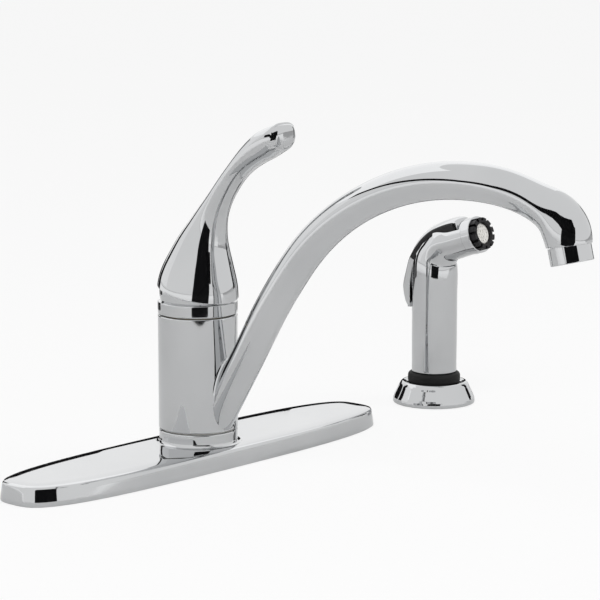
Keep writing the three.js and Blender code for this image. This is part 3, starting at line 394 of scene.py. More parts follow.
def skin(rings, first="fan", last="fan"):
    """Points and faces of a skin over closed rings of equal count. Each end is closed by a fan or by one
    flat face ("plate"), joined to the other end ("join"), or left as it is ("open")."""
    last = "open" if first == "join" else last
    rings = [np.asarray(ring, float) for ring in rings]
    count = len(rings[0])
    points = [tuple(p) for ring in rings for p in ring]
    faces = []
    for i in range(len(rings) if first == "join" else len(rings) - 1):
        a, b = i * count, (i + 1) % len(rings) * count
        faces += [(a + j, a + (j + 1) % count, b + (j + 1) % count, b + j) for j in range(count)]
    for end, start in ((first, 0), (last, (len(rings) - 1) * count)):
        if end == "fan":
            points.append(tuple(np.mean(points[start:start + count], axis=0)))
            faces += [(start + j, start + (j + 1) % count, len(points) - 1) for j in range(count)]
        elif end == "plate":
            faces.append(tuple(range(start, start + count)))
    return points, faces


def smooth_by(thing, degrees):
    """Rounded shading, with hard edges where two faces meet at more than these degrees."""
    thing.data.shade_smooth()
    thing.data.set_sharp_from_angle(angle=math.radians(degrees))
    return thing


def solid(name, points, faces, finish_name, crease=35):
    """A mesh object with its doubles merged and its faces outwards."""
    mesh = bpy.data.meshes.new(name)
    mesh.from_pydata([tuple(p) for p in points], [], faces)
    shape = bmesh.new()
    shape.from_mesh(mesh)
    bmesh.ops.remove_doubles(shape, verts=shape.verts, dist=WELD)
    bmesh.ops.recalc_face_normals(shape, faces=shape.faces)
    if shape.calc_volume(signed=True) < 0:
        bmesh.ops.reverse_faces(shape, faces=shape.faces)
    shape.to_mesh(mesh)
    shape.free()
    mesh.materials.append(FINISHES[finish_name])
    return smooth_by(add_object(name, mesh), crease)


def fit(thing, body, node):
    """The piece moves with a body and stands for the CAD part that it was made from."""
    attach(thing, body)
    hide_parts(node)
    print(f"{thing.name}: {len(thing.data.polygons)} faces, on {body}, for {node}")


cube = [[(0, 0, z), (1, 0, z), (1, 1, z), (0, 1, z)] for z in (0, 1)]
print("a cube's skin has", len(skin(cube, "plate", "plate")[1]), "faces")

# %% Turned pieces
SHARP_END = 0.12  # how near a straight run's ends its extra rings lie
STRAIGHT_RUN = 0.8


def turn(profile, count=128, place=(0, 0, 0), tilt=0.0):
    """Rings of a [radius, height] profile in millimetres, carried round Z, tipped about X, moved. Long
    straight runs get a ring just inside each end, so their shading stays flat."""
    profile = [np.asarray(point, float) for point in profile]
    close = profile[:1]
    for before, here in zip(profile, profile[1:]):
        run = here - before
        length = np.linalg.norm(run)
        if length > STRAIGHT_RUN:
            close += [before + run * SHARP_END / length, here - run * SHARP_END / length]
        close.append(here)
    angles = np.arange(count) * 2 * math.pi / count
    c, s = math.cos(tilt), math.sin(tilt)
    rings = []
    for radius, z in close:
        x, y = radius * np.cos(angles), radius * np.sin(angles)
        rings.append((np.stack([x, y * c - z * s, y * s + z * c], axis=1) + np.asarray(place)) * MM)
    return rings


def turned(name, profile, finish_name, count=128, place=(0, 0, 0), tilt=0.0, ends="join", crease=35):
    """A turned solid. Its profile is closed ("join"), or its two ends are closed by flat faces ("plate")."""
    return solid(name, *skin(turn(profile, count, place, tilt), ends, ends), finish_name, crease)


def rounded(profile, radius, keep=(), steps=5):
    """A closed [radius, height] profile with its corners rounded over, but not those to keep."""
    out = []
    for i, corner in enumerate(profile):
        a, b, c = (np.asarray(profile[j % len(profile)], float) for j in (i - 1, i, i + 1))
        one, other = a - b, c - b
        one_length, other_length = np.linalg.norm(one), np.linalg.norm(other)
        cosine = float(one @ other) / (one_length * other_length)
        if i in keep or abs(cosine) > 0.985:
            out.append(tuple(corner))
            continue
        back = min(radius / math.tan(math.acos(cosine) / 2), 0.45 * one_length, 0.45 * other_length)
        p, q = b + one / one_length * back, b + other / other_length * back
        for t in np.linspace(0, 1, steps + 1):
            out.append(tuple((1 - t) ** 2 * p + 2 * t * (1 - t) * b + t * t * q))
    return out


print("a rounded square has", len(rounded([(0, 0), (1, 0), (1, 1), (0, 1)], 0.1)), "points")

# %% Smooth curves
def even_curve(stations, count):
    """Values on a smooth curve through the stations, in even steps along its length. The bend changes
    evenly too: it is a natural cubic spline on the distance between stations."""
    stations = np.asarray(stations, float)
    gaps = np.linalg.norm(np.diff(stations[:, :2], axis=0), axis=1)
    knots = np.concatenate([[0], np.cumsum(gaps)])
    n = len(knots)
    table = np.eye(n)
    right = np.zeros((n, stations.shape[1]))
    slopes = np.diff(stations, axis=0) / gaps[:, None]
    for i in range(1, n - 1):
        table[i, i - 1:i + 2] = gaps[i - 1], 2 * (gaps[i - 1] + gaps[i]), gaps[i]
        right[i] = 6 * (slopes[i] - slopes[i - 1])
    bend = np.linalg.solve(table, right)

    def at(where):
        i = np.clip(np.searchsorted(knots, where, side="right") - 1, 0, n - 2)
        a, b, w = ((knots[i + 1] - where)[:, None], (where - knots[i])[:, None], gaps[i][:, None])
        return (bend[i] * a ** 3 / (6 * w) + bend[i + 1] * b ** 3 / (6 * w)
                + (stations[i] / w - bend[i] * w / 6) * a + (stations[i + 1] / w - bend[i + 1] * w / 6) * b)

    fine = np.linspace(0, knots[-1], 2000)
    values = at(fine)
    length = np.concatenate([[0], np.cumsum(np.linalg.norm(np.diff(values[:, :2], axis=0), axis=1))])
    return at(np.interp(np.linspace(0, length[-1], count), length, fine))


print("a curve through three stations:", even_curve([(0, 0), (1, 1), (2, 1)], 3).round(2).tolist())

# %% Joining and cutting
def plain(thing):
    """Runs the piece's modifiers once and keeps the result as its own plain mesh."""
    bpy.context.view_layer.update()
    shown = thing.evaluated_get(bpy.context.evaluated_depsgraph_get())
    result = bpy.data.meshes.new_from_object(shown)
    thing.modifiers.clear()
    thing.data = result
    return thing


def combine(thing, other, operation):
    """Adds another shape to a piece (UNION) or takes it out of the piece (DIFFERENCE)."""
    tool = thing.modifiers.new("combine", "BOOLEAN")
    tool.operation, tool.solver, tool.object = operation, "EXACT", other
    plain(thing)
    bpy.data.objects.remove(other)
    return thing


print("joining and cutting ready")

# %% [markdown]
# ## Deck plate
# The plate is a pressed or cast cover that hides the three holes in the sink deck. Its outline is a
# squared oval, fuller at the corners than an ellipse. A row of points is walked round that outline at
# even spacing, and the whole plate is one skin: up the leaning skirt, over the edge, across the top, up
# the collar that carries the spout, down its bore and back along the hollow underside. Three arcs that
# touch make the edge, each tighter than the one above, so that the top falls a little towards its rim
# before it rolls over.

# %% Deck plate
HALF_LENGTH, HALF_WIDTH, SQUARENESS = 134.9, 28.6, 3.2
PLATE_TOP, PLATE_WALL, PLATE_INSIDE, FLAT_INSET = 10.6, 2.4, 8.2, 10.629
EDGE_ARCS = (70, 5, 9), (10, 18, 9), (1.5, 81.4, 12)  # radius, slope at its lower end in degrees, steps
SKIRT_FOOT = 0.15, 0.9  # inset, height
COLLAR_RADIUS, COLLAR_BORE, COLLAR_FILLET = 21.1, 18.8, 2.0


def outline(inset, count=288, fine=20000):
    t = (np.arange(fine) + 0.5) * 2 * math.pi / fine
    c, s, power = np.cos(t), np.sin(t), 2 / SQUARENESS
    x, y = HALF_LENGTH * np.sign(c) * np.abs(c) ** power, HALF_WIDTH * np.sign(s) * np.abs(s) ** power
    square_x = np.sign(c) * np.abs(x / HALF_LENGTH) ** (SQUARENESS - 1) / HALF_LENGTH
    square_y = np.sign(s) * np.abs(y / HALF_WIDTH) ** (SQUARENESS - 1) / HALF_WIDTH
    size = np.hypot(square_x, square_y)
    length = np.concatenate([[0], np.cumsum(np.hypot(np.diff(x), np.diff(y)))])
    total = length[-1] + math.hypot(x[0] - x[-1], y[0] - y[-1])
    where = (np.arange(count) + 0.5) * total / count
    return np.column_stack([np.interp(where, length, x) - inset * np.interp(where, length, square_x / size),
                            np.interp(where, length, y) - inset * np.interp(where, length, square_y / size)])


def level(flat, height):
    return np.column_stack([flat, np.full(len(flat), float(height))]) * MM


def circle(radius, like):
    """A circle whose points lie in the same directions as another ring's."""
    angle = np.arctan2(like[:, 1], like[:, 0])
    return np.column_stack([radius * np.cos(angle), radius * np.sin(angle)])


def plate_edge():
    """(inset, height) from the flat top down to the skirt."""
    inset, height, slope = FLAT_INSET, PLATE_TOP, 0.0
    points = []
    for radius, last_slope, steps in EDGE_ARCS:
        start = math.radians(slope)
        middle = inset + radius * math.sin(start), height - radius * math.cos(start)
        for angle in np.radians(np.linspace(slope, last_slope, steps + 1)[bool(points):]):
            inset, height = middle[0] - radius * math.sin(angle), middle[1] + radius * math.cos(angle)
            points.append((inset, height))
        slope = last_slope
    return points


def deck_plate():
    edge = plate_edge()[::-1]
    rings = [level(outline(0.6), 0.05), level(outline(0.3), 0.25)]
    for inset, height in list(np.linspace(SKIRT_FOOT, edge[0], 5)[:-1]) + edge:
        rings.append(level(outline(inset), height))
    rim = outline(FLAT_INSET)
    foot = circle(COLLAR_RADIUS + COLLAR_FILLET, rim)
    rings += [level(rim + (foot - rim) * k / 12, PLATE_TOP) for k in range(1, 12)]
    for angle in np.linspace(0, math.pi / 2, 11):
        radius = COLLAR_RADIUS + COLLAR_FILLET * (1 - math.sin(angle))
        rings.append(level(circle(radius, rim), PLATE_TOP + COLLAR_FILLET * (1 - math.cos(angle))))
    collar = [
        (COLLAR_RADIUS, 15), (COLLAR_RADIUS, 17.1), (21.05, 17.35), (20.9, 17.58), (20.6, 17.7), (20.1, 17.7),
        (20.0, 17.6), (20.0, 16.1), (18.75, 16.1), (18.7, 16.0), (18.7, PLATE_INSIDE),
        (COLLAR_BORE, PLATE_INSIDE)]
    rings += [level(circle(radius, rim), height) for radius, height in collar]
    bore, inner = circle(COLLAR_BORE, rim), outline(PLATE_WALL + 0.5)
    rings += [level(bore + (inner - bore) * k / 5, PLATE_INSIDE) for k in range(1, 6)]
    return skin(rings + [level(inner, 0.05)], "join")


fit(solid("deck_plate_skin", *deck_plate(), "chrome"), "deck_side", "deck_plate")

# %% [markdown]
# ## Spout
# The spout is a bent tube brazed into the side of a plain sleeve, and the sleeve turns on the valve
# body. The tube leaves the sleeve through a small fillet, the trace of the brazing. A rolling ball gives
# its shape: the ball's middle lies one ball's radius outside both the sleeve and the tube, and the
# fillet is the arc between the two places it touches. Each of the tube's long rows starts with that
# arc, so the sleeve runs into the tube without a crease.

# %% Spout
SPOUT = [  # forward, height, radius
    (12.8, 22.5, 9), (26.2, 44.2, 9), (39.3, 65.4, 9), (51.6, 85.9, 9.1), (65.1, 105.2, 9.1),
    (79.6, 122.8, 9.1), (97.1, 138.1, 9), (117.1, 150.2, 9), (138.5, 158.9, 9.2), (161.2, 164.2, 9.4),
    (184.2, 165.9, 9.5), (205.7, 164.1, 9.3), (224, 159.1, 9.5), (236.6, 152.4, 11.2),
    (240.9, 145.4, 11.5), (242, 140.6, 11),
]
HUB_RADIUS, HUB_BORE, HUB_LOW, HUB_HIGH, HUB_ROUND = 21.3, 18.4, 18.5, 80.0, 0.55
FILLET, FILLET_STEPS, FILLET_ROOT = 1.6, 8, 1.4
SPOUT_LIP = [  # scale, drop
    (0.995, 0.15), (0.975, 0.25), (0.86, 0.25), (0.845, 0.1), (0.845, -3.6), (0.4, -4.0)]
ACROSS = np.array([1.0, 0, 0])


def frames_along(line):
    """Middle, upward and travel directions at each point of a centre line in the plane x = 0."""
    middle = np.stack([np.zeros(len(line)), -line[:, 0], line[:, 1]], axis=1)
    travel = np.gradient(middle, axis=0)
    travel /= np.linalg.norm(travel, axis=1)[:, None]
    upward = np.stack([np.zeros(len(line)), travel[:, 2], -travel[:, 1]], axis=1)
    return middle, upward, travel


def first_past(amounts):
    """Where, in steps and parts of a step, a row of amounts first rises above zero."""
    i = int(np.argmax(amounts > 0))
    return i - 1 + amounts[i - 1] / (amounts[i - 1] - amounts[i])


def between(rows, where):
    """Values between the points of a row, at places counted in steps."""
    where = np.asarray(where)
    low = np.minimum(where.astype(int), len(rows) - 2)
    part = (where - low)[..., None]
    return rows[low] * (1 - part) + rows[low + 1] * part


def rest_of(row, where, count):
    """The rest of a row from this place on, in even steps."""
    return list(between(row, where + (len(row) - 1 - where) * np.arange(1, count + 1) / count))


def spout_tube(sides=96, count=220):
    line = even_curve(SPOUT, 1200)
    middle, upward, travel = frames_along(line)
    columns = []
    for angle in np.arange(sides) * 2 * math.pi / sides:
        out = math.cos(angle) * ACROSS + math.sin(angle) * upward
        balls = middle + out * (line[:, 2:] + FILLET)
        past_hub = np.hypot(balls[:, 0], balls[:, 1]) - (HUB_RADIUS + FILLET)
        where = first_past(np.where(balls[:, 1] < 0, past_hub, np.minimum(past_hub, 0)))
        ball, on_tube = between(balls, where), -between(out, where)
        on_hub = -np.array([*ball[:2], 0]) / math.hypot(*ball[:2])
        full = math.acos(float(on_tube @ on_hub))
        column = [ball + on_hub * (FILLET + FILLET_ROOT), ball + on_hub * (FILLET + 0.02)]
        for w in np.arange(1, FILLET_STEPS + 1) / FILLET_STEPS:
            turned_by = (math.sin((1 - w) * full) * on_hub + math.sin(w * full) * on_tube) / math.sin(full)
            column.append(ball + FILLET * turned_by)
        columns.append(column + rest_of(middle + out * line[:, 2:], where, count))
    rings = list(np.array(columns).transpose(1, 0, 2))
    # The open end turns in over a small lip and back up the waterway above the aerator.
    rim = rings[-1] - middle[-1]
    rings += [middle[-1] + rim * scale + travel[-1] * drop for scale, drop in SPOUT_LIP]
    return skin([ring * MM for ring in rings])


hub = [(HUB_BORE, HUB_LOW), (HUB_RADIUS, HUB_LOW), (HUB_RADIUS, HUB_HIGH), (HUB_BORE, HUB_HIGH)]
hub = turned("spout_skin", rounded(hub, HUB_ROUND), "chrome", 256)
spout = combine(hub, solid("spout_tube", *spout_tube(), "chrome"), "UNION")
fit(smooth_by(spout, 30), "spout_assembly", "spout")

# %% [markdown]
# ## Bonnet
# A turned cap covers the cartridge: a plain band that shows under the lever, then a ball-shaped dome
# that stays inside the lever's hood while the lever rocks over it. One profile turned round the axis
# makes both.

# %% Bonnet
PIVOT, DOME_RADIUS, DOME_WALL, DOME_MOUTH = 92.303, 20.3, 1.9, 12.5
RING_LOW, RING_TOP, RING_BORE = 80.8, 87.2, 16.8


def arc(radius, start, stop, count):
    """Points [radius, height] of a ball's outline about the pivot, between two angles."""
    return [(radius * math.cos(a), PIVOT + radius * math.sin(a)) for a in np.linspace(start, stop, count)]


dome = arc(DOME_RADIUS, -math.asin((PIVOT - RING_TOP) / DOME_RADIUS), math.acos(DOME_MOUTH / DOME_RADIUS), 24)
inner = DOME_RADIUS - DOME_WALL
hollow = arc(inner, math.acos(DOME_MOUTH / inner), math.acos(RING_BORE / inner), 12)
band = [(RING_BORE, 82.0), (19.9, 82.0), (19.9, RING_LOW), (HUB_RADIUS, RING_LOW), (HUB_RADIUS, RING_TOP),
        (19.2, RING_TOP)]
band = rounded(band, 0.45, keep=(0, 5))
fit(turned("bonnet_skin", band[:-1] + dome + hollow, "chrome", 192), "deck_side", "bonnet_cap")

# %% [markdown]
# ## Lever handle
# The lever is a casting: a bell that covers the dome, drawn out into a bent bar that ends in a fat,
# dished thumb rest. Its rings are ovals square to a bent centre line, fuller on top near the tip. The
# bell's rim is one sloping plane, lower in front, so each long row is started where it crosses that
# plane; then the skin turns in over the rim and follows the dome inside.

# %% Lever handle
HANDLE = [  # forward, height above the pivot, half width, half thickness
    (0, -7, 21.9, 21.9), (0, 0, 21.8, 21.8), (0.6, 7, 20.9, 20.8), (2.4, 17, 17.8, 17.4),
    (4.6, 26, 14.5, 13.8), (7.5, 34, 11.8, 10.5), (11.2, 42, 9.8, 7.8), (16.5, 50.5, 8.5, 6),
    (22.9, 59, 8.2, 5.3), (30, 66.7, 8.3, 5.1), (38, 73.6, 9, 6), (46.4, 79.4, 9.8, 7.2),
    (55, 83.95, 10.4, 7.95), (61.8, 86.75, 10.6, 8.05),
]
RIM_TILT = math.radians(12.2)
TIP_START, TIP_WIDE, TIP_THICK = 5.5, 8.9, 5.9  # mm before the end, and the lengths of its two roundings
WIDE_POWER, THICK_POWER = 2.5, 3.4
TIP_LEAN, LEAN_LENGTH = 0.33, 14  # the end face leans forward at the top, as the thumb pad does
FULLER_TOP, FULLER_FROM = 1.0, 0.6
DOME_GAP, RIM_ROUND, SCREW_HOLE, SCREW_RISE = 0.4, 0.2, 2.2, 24.6
RIM_LIP = [(0.0, 0.45), (0.08, 0.2), (0.25, 0.04), (0.5, 0.0), (0.8, 0.0), (0.95, 0.06), (1.0, RIM_ROUND)]


def tip_scale(distance):
    """How wide and how thick the tip still is, this far past the start of its rounding."""
    wide = max(0.0, 1 - max(0.0, distance / TIP_WIDE) ** WIDE_POWER) ** (1 / WIDE_POWER)
    narrowing = max(0.0, (distance - TIP_WIDE + TIP_THICK) / TIP_THICK)
    return wide, max(0.0, 1 - narrowing ** THICK_POWER) ** (1 / THICK_POWER)


def oval(angle, power, half_sizes):
    """The sideways and upward reach of an oval, squarer with a higher power, at one angle."""
    c, s = math.cos(angle), math.sin(angle)
    return (np.sign(c) * abs(c) ** (2 / power) * half_sizes[:, 0],
            np.sign(s) * abs(s) ** (2 / power) * half_sizes[:, 1])


def lever_rings(sides=128, count=190):
    line = even_curve(HANDLE, 1600)
    line[:, 1] += PIVOT
    middle, upward, travel = frames_along(line)
    length = np.concatenate([[0], np.cumsum(np.linalg.norm(np.diff(middle, axis=0), axis=1))])
    before_end = length[-1] - length
    half_sizes = line[:, 2:] * [tip_scale(TIP_START - s) for s in before_end]
    fuller = FULLER_TOP * np.clip((np.linspace(0, 1, len(line)) - FULLER_FROM) / (1 - FULLER_FROM), 0, 1)
    settle = np.clip(1 - before_end / LEAN_LENGTH, 0, 1)
    settle = settle * settle * (3 - 2 * settle)
    columns, rim = [], []
    for angle in np.arange(sides) * 2 * math.pi / sides:
        wide, thick = oval(angle, 2 + fuller * (math.sin(angle) > 0), half_sizes)
        row = middle + wide[:, None] * ACROSS + thick[:, None] * upward
        row[:, 1] -= TIP_LEAN * thick * settle
        where = first_past(row[:, 2] - PIVOT - row[:, 1] * math.tan(RIM_TILT))
        rim.append(between(row, where))
        columns.append(rest_of(row, where, count))
    rings = list(np.array(columns).transpose(1, 0, 2))
    last = rings[-1] - middle[-1]
    across, above = last * ACROSS, (last @ upward[-1])[:, None]
    for turn_share in np.arange(1, 25) / 24:
        distance = TIP_START + (TIP_WIDE - TIP_START) * math.sin(math.pi / 2 * turn_share)
        wide, thick = (max(new / old, 0.02) for new, old in zip(tip_scale(distance), tip_scale(TIP_START)))
        lean = above * thick * [0, -TIP_LEAN, 0]
        rings.append(middle[-1] + travel[-1] * (distance - TIP_START) + across * wide
                     + above * thick * upward[-1] + lean)
    return np.array(rim), rings


def lever():
    rim, rings = lever_rings()
    normal = np.array([0, -math.sin(RIM_TILT), math.cos(RIM_TILT)])
    pivot = np.array([0, 0, PIVOT])
    reach = np.linalg.norm(rim - pivot, axis=1)[:, None]
    arm = (rim - pivot) / reach
    inside = DOME_RADIUS + DOME_GAP
    lip = [pivot + arm * (reach + (inside - reach) * part) + normal * lift for part, lift in RIM_LIP]
    rises = np.linspace(math.asin(RIM_ROUND / inside), math.radians(88), 22)[1:]
    hollow = [pivot + inside * (arm * math.cos(rise) + normal * math.sin(rise)) for rise in rises]
    return skin([ring * MM for ring in hollow[::-1] + lip[::-1] + rings])


hole = turn([(SCREW_HOLE, -30), (SCREW_HOLE, -3)], 32, (0, 0, PIVOT + SCREW_RISE), math.pi / 2)
handle = combine(solid("lever_handle_skin", *lever(), "chrome"), solid("screw_hole", *skin(hole), "chrome"),
                 "DIFFERENCE")
fit(smooth_by(handle, 30), "handle", "lever_handle")

# %% [markdown]
# ## Repeats made by node trees
# Some details come many times: the notches of the nozzle ring, the holes of the spray face and the
# aerator, and the turns of a thread. Each is one Geometry Nodes tree that is run with other numbers.
# Every tree ends by making its copies real and by setting the finish, and two helpers do what all the
# trees share: one starts a tree with named inputs, the other runs it on a piece.

# %% Helpers for node trees
def tree_of(name, inputs):
    """A tree with named inputs, each given as (socket type, value), its input sockets and its last step."""
    tree = bpy.data.node_groups.new(name, "GeometryNodeTree")
    tree.interface.new_socket("Geometry", in_out="INPUT", socket_type="NodeSocketGeometry")
    for label, (kind, value) in {**inputs, "Finish": ("Material", None)}.items():
        socket = tree.interface.new_socket(label, in_out="INPUT", socket_type="NodeSocket" + kind)
        if value is not None:
            socket.default_value = value
    tree.interface.new_socket("Geometry", in_out="OUTPUT", socket_type="NodeSocketGeometry")
    given = add(tree, "NodeGroupInput").outputs
    real = add(tree, "GeometryNodeRealizeInstances")
    finished = add(tree, "GeometryNodeSetMaterial", {
        "Geometry": real.outputs["Geometry"], "Material": given["Finish"]})
    add(tree, "NodeGroupOutput", {"Geometry": finished.outputs["Geometry"]})
    return tree, given, real


def run_tree(thing, tree, finish_name, values):
    """Sets the inputs by their sockets' identifiers, runs the tree and keeps the plain mesh."""
    values = {**values, "Finish": FINISHES[finish_name]}
    tool = thing.modifiers.new("tree", "NODES")
    tool.node_group = tree
    for item in tree.interface.items_tree:
        if item.in_out == "INPUT" and item.name in values:
            tool[item.identifier] = values[item.name]
    mesh = plain(thing).data
    mesh.materials.clear()
    mesh.materials.append(FINISHES[finish_name])
    mesh.polygons.foreach_set("material_index", [0] * len(mesh.polygons))
    return thing


print("node tree helpers ready")

# %% [markdown]
# The first tree sets copies of a cutter evenly round an axis and takes them out of the piece. A circle
# gives the places, and each copy is turned to its own place on it.

# %% Cuts round an axis
def round_cut_tree():
    tree, given, real = tree_of("cuts_round_an_axis", {
        "Cutter": ("Object", None), "Count": ("Int", 12), "Radius": ("Float", 0.01),
        "Start Angle": ("Float", 0.0), "Axis Place": ("Vector", (0, 0, 0)),
        "Axis Turn": ("Vector", (0, 0, 0))})
    cutter = add(tree, "GeometryNodeObjectInfo", {"Object": given["Cutter"]}, transform_space="ORIGINAL")
    spots = add(tree, "GeometryNodeCurvePrimitiveCircle", {
        "Resolution": given["Count"], "Radius": given["Radius"]}, mode="RADIUS")
    tangent = add(tree, "GeometryNodeInputTangent").outputs["Tangent"]
    facing = add(tree, "FunctionNodeAlignEulerToVector", {"Vector": tangent}, axis="X", pivot_axis="Z")
    copies = add(tree, "GeometryNodeInstanceOnPoints", {
        "Points": spots.outputs["Curve"], "Instance": cutter.outputs["Geometry"],
        "Rotation": facing.outputs["Rotation"]})
    about_z = add(tree, "ShaderNodeCombineXYZ", {"Z": given["Start Angle"]}).outputs["Vector"]
    started = add(tree, "GeometryNodeTransform", {
        "Geometry": copies.outputs["Instances"], "Rotation": about_z})
    placed = add(tree, "GeometryNodeTransform", {
        "Geometry": started.outputs["Geometry"], "Translation": given["Axis Place"],
        "Rotation": given["Axis Turn"]})
    cutters = add(tree, "GeometryNodeRealizeInstances", {"Geometry": placed.outputs["Geometry"]})
    cut = add(tree, "GeometryNodeMeshBoolean", {
        "Mesh 1": given["Geometry"], "Mesh 2": cutters.outputs["Geometry"]},
        operation="DIFFERENCE", solver="EXACT")
    feed(tree, real, {"Geometry": cut.outputs["Mesh"]})
    return tree


ROUND_CUT = round_cut_tree()


def cut_round(thing, cutter, count, radius, start, place, tilt, finish_name):
    """Takes copies of the cutter out of the piece. Millimetres and radians."""
    return run_tree(thing, ROUND_CUT, finish_name, {
        "Cutter": cutter, "Count": count, "Radius": radius * MM, "Start Angle": start,
        "Axis Place": tuple(MM * value for value in place), "Axis Turn": (tilt, 0, 0)})


print("round cuts ready")

# %% [markdown]
# The second tree draws a thread. It moves each point of a fine turned rod in by where the point lies
# along the helix, so the groove's depth follows a zigzag between the crests.

# %% Threads
BORE_LIMIT = 0.0038  # metres; a hollow rod's bore lies inside this radius and keeps its shape


def thread_tree():
    tree, given, real = tree_of("thread_on_rod", {
        "Axis Place": ("Vector", (0, 0, 0)), "Pitch": ("Float", 0.00125), "Depth": ("Float", 0.0006),
        "Low": ("Float", -0.05), "High": ("Float", 0.0)})
    here = add(tree, "GeometryNodeInputPosition").outputs["Position"]
    apart = add(tree, "ShaderNodeVectorMath", {0: here, 1: given["Axis Place"]}, operation="SUBTRACT")
    split = add(tree, "ShaderNodeSeparateXYZ", {"Vector": apart.outputs["Vector"]})
    x, y, z = (split.outputs[axis] for axis in "XYZ")
    turns = maths(tree, "DIVIDE", maths(tree, "ARCTAN2", y, x), 2 * math.pi)
    pitches = maths(tree, "DIVIDE", z, given["Pitch"])
    wave = maths(tree, "PINGPONG", maths(tree, "ADD", pitches, turns), 0.5)
    amount = maths(tree, "MULTIPLY", maths(tree, "SUBTRACT", wave, 0.5), 2.0)
    squares = [maths(tree, "MULTIPLY", value, value) for value in (x, y)]
    reach = maths(tree, "SQRT", maths(tree, "ADD", *squares))
    above, below = maths(tree, "GREATER_THAN", z, given["Low"]), maths(tree, "LESS_THAN", z, given["High"])
    for factor in (given["Depth"], above, below, maths(tree, "GREATER_THAN", reach, BORE_LIMIT)):
        amount = maths(tree, "MULTIPLY", amount, factor)
    share = maths(tree, "DIVIDE", amount, reach)
    move = add(tree, "ShaderNodeCombineXYZ", {
        "X": maths(tree, "MULTIPLY", x, share), "Y": maths(tree, "MULTIPLY", y, share)})
    shifted = add(tree, "GeometryNodeSetPosition", {
        "Geometry": given["Geometry"], "Offset": move.outputs["Vector"]})
    feed(tree, real, {"Geometry": shifted.outputs["Geometry"]})
    return tree


THREAD = thread_tree()


def threaded(thing, finish_name, x, y, pitch, depth, low, high):
    """Draws a thread on an upright rod at (x, y), between two heights. Millimetres."""
    return run_tree(thing, THREAD, finish_name, {
        "Axis Place": (x * MM, y * MM, 0), "Pitch": pitch * MM, "Depth": depth * MM,
        "Low": low * MM, "High": high * MM})


print("threads ready")

# %% [markdown]
# ## Aerator
# The spout ends in a short turned collar that screws up into it. Inside sit a plastic insert with
# rings of holes, which mixes air into the water, and a rubber washer. All of them lie square to the
# spout's end, which leans back 14 degrees.

# %% Aerator
AERATOR, LEAN = (0, -242, 140.6), math.radians(-14)
shell = [(8.2, -8.75), (10.35, -8.75), (10.35, -0.3), (8.9, -0.3), (8.9, 3.4), (8.2, 3.4)]
shell = rounded(shell, 0.5, keep=(2, 3, 4, 5))
fit(turned("aerator_housing_skin", shell, "chrome", 160, AERATOR, LEAN), "spout_assembly", "aerator_housing")

INSERT_MIDDLE, HOLE_RADIUS = -6.1, 0.72
disc = [(7.5, -7.6), (7.9, -7.2), (7.9, -5.0), (7.5, -4.6)]
insert = turned("aerator_insert_skin", disc, "pale_plastic", 96, AERATOR, LEAN, "plate")
pin = turned("hole_pin", [(HOLE_RADIUS, -4), (HOLE_RADIUS, 4)], "steel", 20, ends="plate")
middle = Vector(AERATOR) + Vector((0, -math.sin(LEAN), math.cos(LEAN))) * INSERT_MIDDLE
for holes, ring_radius in ((6, 2.1), (12, 4.2), (18, 6.3)):
    cut_round(insert, pin, holes, ring_radius, 0.0, middle, LEAN, "pale_plastic")
bpy.data.objects.remove(pin)
fit(smooth_by(insert, 30), "spout_assembly", "aerator_insert")

# %% [markdown]
# ## Side spray: guide and bumper
# The guide is a turned flange with a long threaded shank through the countertop. It slopes in from a
# short upright skirt to a rounded shoulder. A black rubber ring is pressed into its mouth, and the wand
# rests on that ring. The hose runs up through the middle.

# %% Guide and bumper
SPRAY = (203.2, 0, 0)
SHANK_RADIUS, SHANK_LOW, SHANK_HIGH, SHANK_STEP = 14.4, -44.5, 1.6, 0.22
guide = [(12.4, 12.2), (12.4, -44.6), (12.8, -45), (14.0, -45)]
guide += [(SHANK_RADIUS, z) for z in np.arange(SHANK_LOW, SHANK_HIGH, SHANK_STEP)]
guide += [
    (SHANK_RADIUS, SHANK_HIGH), (22.4, 1.6), (22.4, 0.5), (22.6, 0.3), (24.0, 0.3), (24.3, 0.5), (24.4, 1.0),
    (24.38, 2.2), (24.2, 3.3), (23.7, 4.5), (22.6, 6.8), (21.2, 9.8), (20.75, 10.9), (20.3, 11.7),
    (19.8, 12.35), (19.3, 12.8), (18.75, 13.05), (18.2, 13.1), (17.6, 12.95), (17.2, 12.7), (16.4, 12.2)]
guide = turned("spray_guide_skin", guide, "chrome", place=SPRAY, crease=50)
threaded(guide, "chrome", *SPRAY[:2], pitch=1.8, depth=0.7, low=-43.5, high=-1.5)
fit(smooth_by(guide, 40), "deck_side", "spray_guide")

bumper = [
    (10.5, 18.5), (10.5, 9.0), (11.0, 8.3), (11.7, 8.3), (12.1, 8.8), (12.1, 12.3), (14.6, 12.3),
    (15.1, 12.6), (15.45, 13.1), (15.6, 13.7), (15.6, 16.6), (15.4, 17.3), (15.0, 17.95),
    (14.4, 18.4), (13.9, 18.5)]
fit(turned("bumper_ring_skin", bumper, "rubber", 160, SPRAY), "deck_side", "guide_bumper_ring")

# %% [markdown]
# ## Side spray: wand
# The wand is one moulding: an upright round grip that bends over into a short head. It is a skin over
# rings square to a bent centre line, like the spout. The trigger lies in a slot that runs down the back
# and over the shoulder. The slot is cut by a block with the slot's side outline, and two wider blocks
# open it round the bend and the shoulder, where a dark gap shows beside the trigger.

# %% Wand
HEAD_TURN, HEAD_HEIGHT, GRIP, FOOT = math.radians(17), 94.2, 13.4, 18.8
FOOT_BORE, FOOT_TURNED_IN = 10.35, 10.7
FRONT_FACE = (0.985, 0.12), (0.9, 0.15), (0.5, 0.15)  # scale, rise
SLOT_HALF, BEND_HALF, SHOULDER_HALF = 8.9, 10.7, 9.4


